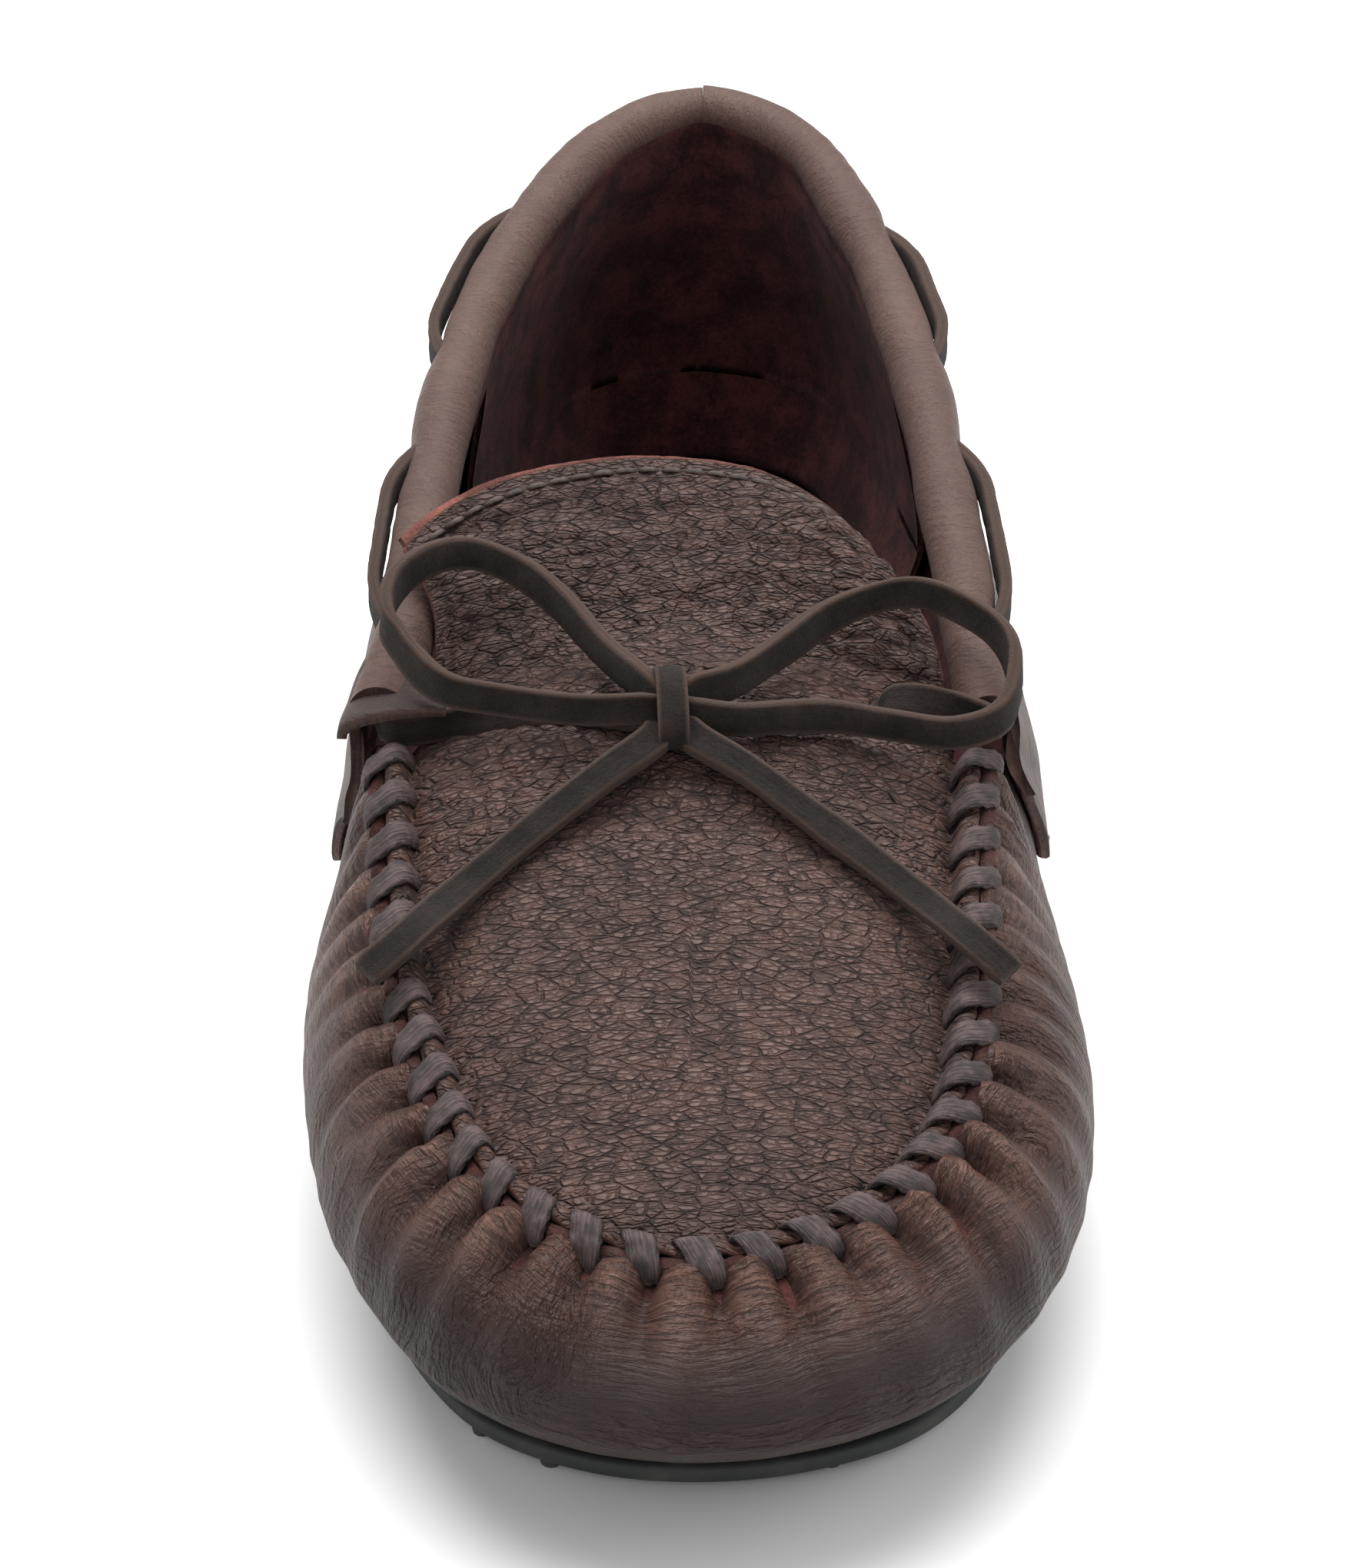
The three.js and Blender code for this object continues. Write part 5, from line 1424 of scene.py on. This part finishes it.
def front_tab():
    """The left quarter's front end: the roll opens flat and lies over the plug's edge and the lace."""
    front = Rail(on_last([[x, TAB_FRONT_Y, z] for x, z in TAB_FRONT])).at(np.linspace(0, 1, 40))
    shares = np.linspace(0, 1, 30)
    angles = np.radians(np.linspace(-28, 150, 40))
    rows = []
    for share in shares:
        y = TAB_FRONT_Y + (TAB_BACK_Y - TAB_FRONT_Y) * share
        rib = np.interp(y, [-26, -7], [3 * FRONT_RIB, 3 * FRONT_RIB - 1])
        centre = collar_at(np.array([rib]))[0]
        radius = COLLAR_RADIUS + 0.5 - 0.9 * share
        around_roll = np.stack([-np.cos(angles) * radius, 0 * angles, np.sin(angles) * radius], 1)
        around_roll += centre * [1, 0, 1] + [0, y * LAST_SCALE[1], 0]
        line = front.copy()
        line[:, 1] += (TAB_BACK_Y - TAB_FRONT_Y) * share * LAST_SCALE[1]
        joined = smooth(share, 0.1, 0.95)
        rows.append(line * (1 - joined) + around_roll * joined)
    grid = np.array(rows)
    # The inner end's back corner is cut round.
    grid[..., 1] -= 5.0 * shares[:, None] * smooth(np.linspace(0, 1, 40), 0.7, 1.0)[None]
    normals = normals_towards(grid, 10, -4)
    lie = paired(grid[..., 1], lengths(front)[None])
    outer = grid + normals * (0.3 * swell(lie, 6.0, 91))[..., None]
    outer[0] -= 0.3 * UP
    full = np.concatenate([outer, (grid - normals * TAB_THICKNESS)[::-1]])
    zero = np.zeros(full.shape[:2])
    raw = zero.copy()
    raw[[0, -1]] = 0.5
    # Painted shade: the whole outer face is darkened, and the lace slit is painted as a dark spot, not cut.
    slit = np.stack([lie[..., 0] - (TAB_FRONT_Y + 11), lie[..., 1] - 9.5], 2) / [3.2, 0.9]
    painted_shade = 0.55 + 0.45 * np.concatenate([np.exp(-(slit**4).sum(2)), zero[: len(grid)]])
    wall = np.broadcast_to(1.0 - 0.5 * np.concatenate([shares, shares[::-1]])[:, None], full.shape[:2])
    marks = {"wall": wall, "raw": raw, "painted_shade": painted_shade, "rub": zero}
    obj = grid_object("quarter_front_tab", full, np.concatenate([lie, lie[::-1]]), marks,
                      round_rows=True, cap_columns=True)
    dress(obj, COLLAR_LEATHER, "root")


HEEL_TAB_HALF = 0.55  # in ribs, each way from the seam at the heel
HEEL_TAB_RIBS = np.linspace(HEEL_RIB - HEEL_TAB_HALF, HEEL_RIB + HEEL_TAB_HALF, 34)


def heel_tab():
    """The strip that covers the seam at the heel."""
    grid, counts = quarter_section(HEEL_TAB_RIBS)
    wall = grid[: counts[0] + counts[1] - 1]
    normals = normals_towards(wall, 10, 17, outward_at(HEEL_TAB_RIBS)[17])
    number = np.arange(len(HEEL_TAB_RIBS))
    edge = np.minimum(number, number[::-1]) / number[-1]
    thick = 1.4 * smooth(edge, -0.02, 0.08)[None, :, None] + 0.1
    outer = wall + normals * (GAP + thick)
    full = np.concatenate([outer, (wall + normals * GAP)[::-1]])
    lie = paired(lengths(wall[5])[None], np.arange(len(full))[:, None] * 1.2)
    # Painted shade: a dark line along each row of stitches near the strip's edges.
    painted_shade = np.broadcast_to(0.4 * bell(edge - 0.12, 0.025), full.shape[:2])
    zero = np.zeros(full.shape[:2])
    marks = {"wall": zero + 0.7, "raw": zero, "painted_shade": painted_shade, "rub": zero}
    obj = grid_object("heel_tab_strip", full, lie, marks, round_rows=True, cap_columns=True)
    dress(obj, COLLAR_LEATHER, "root", ["heel_tab"])
    return outer


def heel_lining():
    """Suede inside the heel, seamed down the middle."""
    ribs = np.linspace(HEEL_RIB - 3.5, HEEL_RIB + 3.5, 140)
    foot, wide = around(FOOT, ribs), around(WIDE, ribs)
    flat = np.array([1.0, 1.0, 0.0])
    low = bezier(foot, foot + UNDERSIDE_REACH * (wide - foot) * flat,
                 wide - UNDERSIDE_DROP * (wide - foot) * UP, wide, np.linspace(0.45, 1, 16))
    centre, out = collar_at(ribs), outward(collar_at, ribs)
    meet = centre + out * (COLLAR_RADIUS - QUARTER_STAND_OFF)
    high = bezier(wide, wide + 0.45 * (meet - wide) * UP, meet - 0.3 * (meet - wide) * UP, meet,
                  np.linspace(0, 1, 30))
    shell = np.concatenate([low[:-1], high])
    normals = normals_towards(shell, 20, 70, out[70])
    seam = bell(ribs - HEEL_RIB, 0.05)[None]
    wavy = 0.4 * swell(shell, 12.0, 95)
    near_wall, near_foot = HEEL_LINING_INSETS
    outer = shell - normals * near_wall
    inner = shell - normals * (near_foot - 0.5 * seam + wavy * 0.5)[..., None]
    grid = np.concatenate([outer, inner[::-1]])
    obj = grid_object("heel_lining_suede", grid, grid[..., ::2], round_rows=True, cap_columns=True)
    dress(obj, FLESH_SUEDE, "root", ["heel_lining"])


# ---- What repeats: stitches and studs, set in rows by Geometry Nodes ----
def rows_tree():
    """Puts a copy of one piece at each point, turned as the point's "turn" says, with a little wobble."""
    tree = bpy.data.node_groups.new("set in rows", "GeometryNodeTree")
    kinds = {"Points": "Geometry", "Piece": "Object", "Finish": "Material", "Turn Wobble": "Float",
             "Size Wobble": "Float", "Seed": "Int"}
    sockets = {}
    for label, kind in kinds.items():
        kind = "NodeSocket" + kind
        sockets[label] = tree.interface.new_socket(name=label, in_out="INPUT", socket_type=kind)
    tree.interface.new_socket(name="Rows", in_out="OUTPUT", socket_type="NodeSocketGeometry")
    b = Board(tree)
    given = b.add("NodeGroupInput").outputs
    piece = b.add("GeometryNodeObjectInfo", {"transform_space": "ORIGINAL"}, Object=given["Piece"])
    turn = b.add("GeometryNodeInputNamedAttribute", {"data_type": "FLOAT_VECTOR"}, Name="turn")
    facing = b.add("FunctionNodeEulerToRotation", Euler=turn.outputs[0])
    wobble = b.add("FunctionNodeRandomValue", {"data_type": "FLOAT_VECTOR"})
    spread = b.add("ShaderNodeCombineXYZ", **{axis: given["Turn Wobble"] for axis in "XYZ"})
    against = b.add("ShaderNodeVectorMath", {"operation": "SCALE"}, Scale=-1.0)
    b.feed(against.inputs[0], spread.outputs[0])
    b.feed(wobble.inputs["Min"], against.outputs[0])
    b.feed(wobble.inputs["Max"], spread.outputs[0])
    b.feed(wobble.inputs["Seed"], given["Seed"])
    shaken = b.add("FunctionNodeEulerToRotation", Euler=wobble.outputs[0])
    both = b.add("FunctionNodeRotateRotation", {"rotation_space": "LOCAL"})
    b.feed(both.inputs["Rotation"], facing.outputs[0])
    b.feed(both.inputs["Rotate By"], shaken.outputs[0])
    size = b.add("FunctionNodeRandomValue", {"data_type": "FLOAT"})
    for socket in [s for s in size.inputs if s.type == "VALUE"][:2]:
        sign = "SUBTRACT" if socket.name == "Min" else "ADD"
        b.feed(socket, b.math(sign, 1.0, given["Size Wobble"]))
    b.feed(size.inputs["Seed"], given["Seed"])
    size_out = next(s for s in size.outputs if s.type == "VALUE")
    placed = b.add("GeometryNodeInstanceOnPoints", Points=given["Points"],
                   Instance=piece.outputs["Geometry"], Rotation=both.outputs[0], Scale=size_out)
    real = b.add("GeometryNodeRealizeInstances", Geometry=placed.outputs[0])
    finished = b.add("GeometryNodeSetMaterial", Geometry=real.outputs[0], Material=given["Finish"])
    end = b.add("NodeGroupOutput")
    b.feed(end.inputs[0], finished.outputs[0])
    return tree, {label: socket.identifier for label, socket in sockets.items()}


ROWS_TREE, ROWS_SOCKETS = rows_tree()


def set_in_rows(name, piece, points, axes, finish, body, stands_for=(), turn=0.05,
                size=0.05, seed=1):
    """A row of one piece. axes gives for each point the directions of the piece's own X, Y and Z."""
    mesh = bpy.data.meshes.new(name + "_places")
    mesh.from_pydata(((points + SHIFT) * MM).tolist(), [], [])
    turns = [Matrix(np.stack(frame_of, 1).tolist()).to_euler() for frame_of in zip(*axes)]
    turn_mark = mesh.attributes.new("turn", "FLOAT_VECTOR", "POINT")
    turn_mark.data.foreach_set("vector", np.array(turns).ravel())
    places = bpy.data.objects.new(name + "_places", mesh)
    bpy.context.scene.collection.objects.link(places)
    rows = places.modifiers.new("rows", "NODES")
    rows.node_group = ROWS_TREE
    values = {"Piece": piece, "Finish": finish, "Turn Wobble": turn, "Size Wobble": size, "Seed": seed}
    for label, value in values.items():
        rows[ROWS_SOCKETS[label]] = value
    made = settled(places, name)
    made.data.polygons.foreach_set("use_smooth", [True] * len(made.data.polygons))
    bpy.data.objects.remove(piece)
    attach(made, body)
    if stands_for:
        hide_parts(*stands_for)
    return made


def stitch(name, line, across, width, thickness, plies, twist, steps=20):
    """One stitch: a flat twisted thread, its width "across", slimmer where it goes into its holes."""
    line = refined(line, lengths(Rail(line).at(np.linspace(0, 1, 60)))[-1] / steps)
    along = unit(np.gradient(line, axis=0))
    side = unit(across - along * (along @ np.array(across, float))[:, None])
    face = np.cross(side, along)
    turn = np.linspace(0, 2 * math.pi, 18, endpoint=False)
    share = np.linspace(0, 1, len(line))
    slim = np.interp(share, [0, 0.12, 0.3, 0.75, 0.9, 1], [0.7, 0.9, 1.0, 1.0, 0.9, 0.7])
    lobes = 1 + 0.1 * np.cos(plies * (turn[None] + twist * 2 * math.pi * share[:, None]))
    wide = np.cos(turn)[None] * lobes * width / 2 * slim[:, None]
    thick = np.sin(turn)[None] * lobes * thickness / 2
    grid = line[:, None] + side[:, None] * wide[..., None]
    grid = grid + face[:, None] * thick[..., None]
    lie = paired(lengths(line)[:, None], turn[None] * width / 3)
    # The piece is made at the origin, so the shoe's own shift is taken back out.
    return grid_object(name, grid - SHIFT, lie, round_columns=True, cap_rows=True)


def axes_along(tangent, inward):
    """Square axes: X along the row, Y inwards, Z up."""
    x = unit(tangent)
    z = unit(np.cross(x, inward))
    return x, np.cross(z, x), z


def whip_stitches():
    """The hand stitches over the ridge, from a hole in the plug to a hole in the wrap."""
    half = STITCH_SLANT / 2 * STITCH_PITCH
    slant = np.linspace(-half, half, 12)
    over = [(3.9, -3.6), (3.75, -2.3), (3.2, -0.9), (2.55, 0.3), (1.8, 1.0), (1.0, 1.25), (0.2, 1.05),
            (-0.7, 0.6), (-1.6, 0.2), (-2.25, -0.45), (-2.65, -1.4), (-2.6, -2.7)]
    route = [[x, y, z] for x, (y, z) in zip(slant, over)]
    piece = stitch("one_whip_stitch", route, (1.0, 0.0, 0.0), 4.0, 1.2, 7, 0.8, 30)
    ribs = rib_of(np.arange(STITCH_COUNT) + 0.5)
    points = around(EDGE, ribs)
    axes = axes_along(around(EDGE, ribs + 0.05) - around(EDGE, ribs - 0.05), -outward_at(ribs))
    set_in_rows("plug_whip_stitches", piece, points, axes, WAXED_THREAD, "root", ["plug_seam_thread"],
                0.07, 0.06, 3)


MACHINE_STITCH_SHARE = 0.8  # of the pitch
MACHINE_STITCH = [(-1, -0.7), (-0.9, -0.05), (-0.5, 0.26), (0, 0.34), (0.5, 0.26), (0.9, -0.05), (1, -0.7)]


def short_stitches(name, line, normals, pitch, body, stands_for, seed):
    """A row of machine stitches along a line on a surface."""
    run = lengths(line)
    count = max(int(run[-1] / pitch), 2)
    stops = (np.arange(count) + 0.5) * run[-1] / count
    pick = lambda values: np.stack([np.interp(stops, run, values[:, k]) for k in range(3)], 1)
    half = pitch * MACHINE_STITCH_SHARE / 2
    arc = [[half * x, 0, z] for x, z in MACHINE_STITCH]
    piece = stitch(name + "_one", arc, (0.0, 1.0, 0.0), 0.85, 0.75, 3, 1.2, 10)
    x = unit(pick(np.gradient(line, axis=0)))
    y = unit(np.cross(pick(normals), x))
    axes = (x, y, np.cross(x, y))
    set_in_rows(name, piece, pick(line), axes, FINE_THREAD, body, stands_for, seed=seed)


def tongue_stitches(patch):
    """The stitches that hold the tongue's two layers, a little inside its cut edge."""
    normals = normals_towards(patch, 30, 50)
    back = lengths(patch[:, 54])
    row = int(np.searchsorted(back, back[-1] - TONGUE_STITCH_INSET))
    line, up = patch[row, 8:-8], normals[row, 8:-8]
    short_stitches("tongue_edge_stitches", line - up * 0.25, up, 3.3, "tongue", ["tongue_edge_thread"], 5)


def lap_stitches():
    """The stitches that hold each quarter down on the wrap, up to the heel tab."""
    clear = 0.62
    for name, node, first, last, seed in (
        ("lap_stitches_right", "quarter_thread_right", FRONT_RIB + 0.7, HEEL_RIB - clear, 7),
        ("lap_stitches_left", "quarter_thread_left", HEEL_RIB + clear, 3 * FRONT_RIB - 0.7, 8),
    ):
        ribs = np.linspace(first, last, 300)
        out = outward_at(ribs)
        line = quarter_section(ribs)[0][3] + out * 0.1
        short_stitches(name, line, out, 3.4, "root", [node], seed)


def heel_tab_stitches(outer):
    """A row of stitches down each side of the heel tab."""
    for number, column in enumerate((4, 29)):
        line = outer[3:-4, column]
        out = np.broadcast_to(outward_at(HEEL_TAB_RIBS)[column], line.shape)
        short_stitches(f"heel_tab_stitches_{number + 1}", line, out, 3.2, "root", (), 9 + number)


def plate_outline(ribs, margin):
    return around(FOOT, ribs) + outward(lambda r: around(FOOT, r), ribs) * margin


def outsole():
    """The rubber sole: a plate with a softened edge."""
    ribs = np.linspace(0, RIBS, 420, endpoint=False)
    bottom, top = STUD_HEIGHT, STUD_HEIGHT + OUTSOLE_THICKNESS
    edge = [(-8.0, bottom), (-0.9, bottom), (-0.4, bottom + 0.15), (-0.1, bottom + 0.5),
            (0.0, bottom + 1.0), (0.0, top - 0.6), (-0.3, top - 0.2), (-0.9, top), (-8.0, top)]
    rows = []
    for inset, height in edge:
        ring = plate_outline(ribs, OUTSOLE_MARGIN + inset)
        ring[:, 2] = height
        rows.append(ring)
    plate = grid_object("outsole_plate", np.array(rows), round_columns=True, cap_rows=True)
    dress(plate, RUBBER, "root", ["outsole"])


def studs():
    """Round studs all over the sole's underside."""
    outline = plate_outline(np.linspace(0, RIBS, 200, endpoint=False), STUD_MARGIN)[:, :2]
    reach = int(STUD_FIELD / STUD_PITCH)
    steps = np.arange(-reach, reach + 1)
    x, y = np.meshgrid(steps * STUD_PITCH, steps * STUD_PITCH)
    x = x + (steps[:, None] % 2) * STUD_PITCH / 2
    spots = np.stack([x.ravel(), y.ravel()], 1)
    nxt = np.roll(outline, -1, 0)
    crosses = (outline[None, :, 1] > spots[:, 1:]) != (nxt[None, :, 1] > spots[:, 1:])
    slope = (nxt[:, 0] - outline[:, 0]) / (nxt[:, 1] - outline[:, 1] + 1e-12)
    hit = outline[None, :, 0] + (spots[:, 1:] - outline[None, :, 1]) * slope[None]
    spots = spots[(crosses & (spots[:, :1] < hit)).sum(1) % 2 == 1]
    points = np.column_stack([spots, np.zeros(len(spots))])
    turn = np.linspace(0, 2 * math.pi, 12, endpoint=False)
    rows = []
    for radius, height in ((1.15, 0.0), (1.4, 0.18), (1.5, 0.7), (1.6, STUD_HEIGHT + 0.3)):
        rows.append(np.stack([radius * np.cos(turn), radius * np.sin(turn), 0 * turn + height], 1))
    stud = grid_object("one_stud", np.array(rows) - SHIFT, round_columns=True, cap_rows=True)
    axes = [np.broadcast_to(axis, points.shape) for axis in np.eye(3)]
    set_in_rows("outsole_studs", stud, points, axes, RUBBER, "root", (), 0.0, 0.0, 1)


def footbed():
    """The layers under the foot keep their cut shapes and take their own finishes."""
    for node, finish in (("insole_board", BOARD), ("heel_counter", BOARD), ("insole_foam", FOAM),
                         ("sock_lining", SOCK_SUEDE)):
        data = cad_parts[node].data
        data.materials.clear()
        data.materials.append(finish)


photographer()
free_lace("lace_loop_left_band", "lace_loop_left", LOOP_LEFT, True, "object", 12)
free_lace("lace_loop_right_band", "lace_loop_right", LOOP_RIGHT, True, "object", 13)
free_lace("lace_tail_left_band", "lace_tail_left", TAIL_LEFT, False, "bare", 14)
free_lace("lace_tail_right_band", "lace_tail_right", TAIL_RIGHT, False, "bare", 15)
studio()
lace_round_collar()
knot()
bottom_wrap()
tongue_surface = upper_skin()
tongue_lining(tongue_surface)
quarter("quarter_right_leather", "quarter_right", FRONT_RIB, HEEL_RIB - 0.002, 83)
quarter("quarter_left_leather", "quarter_left", HEEL_RIB + 0.002, 3 * FRONT_RIB, 85)
front_tab()
tab_outer = heel_tab()
heel_lining()
whip_stitches()
tongue_stitches(tongue_surface)
lap_stitches()
heel_tab_stitches(tab_outer)
outsole()
studs()
footbed()
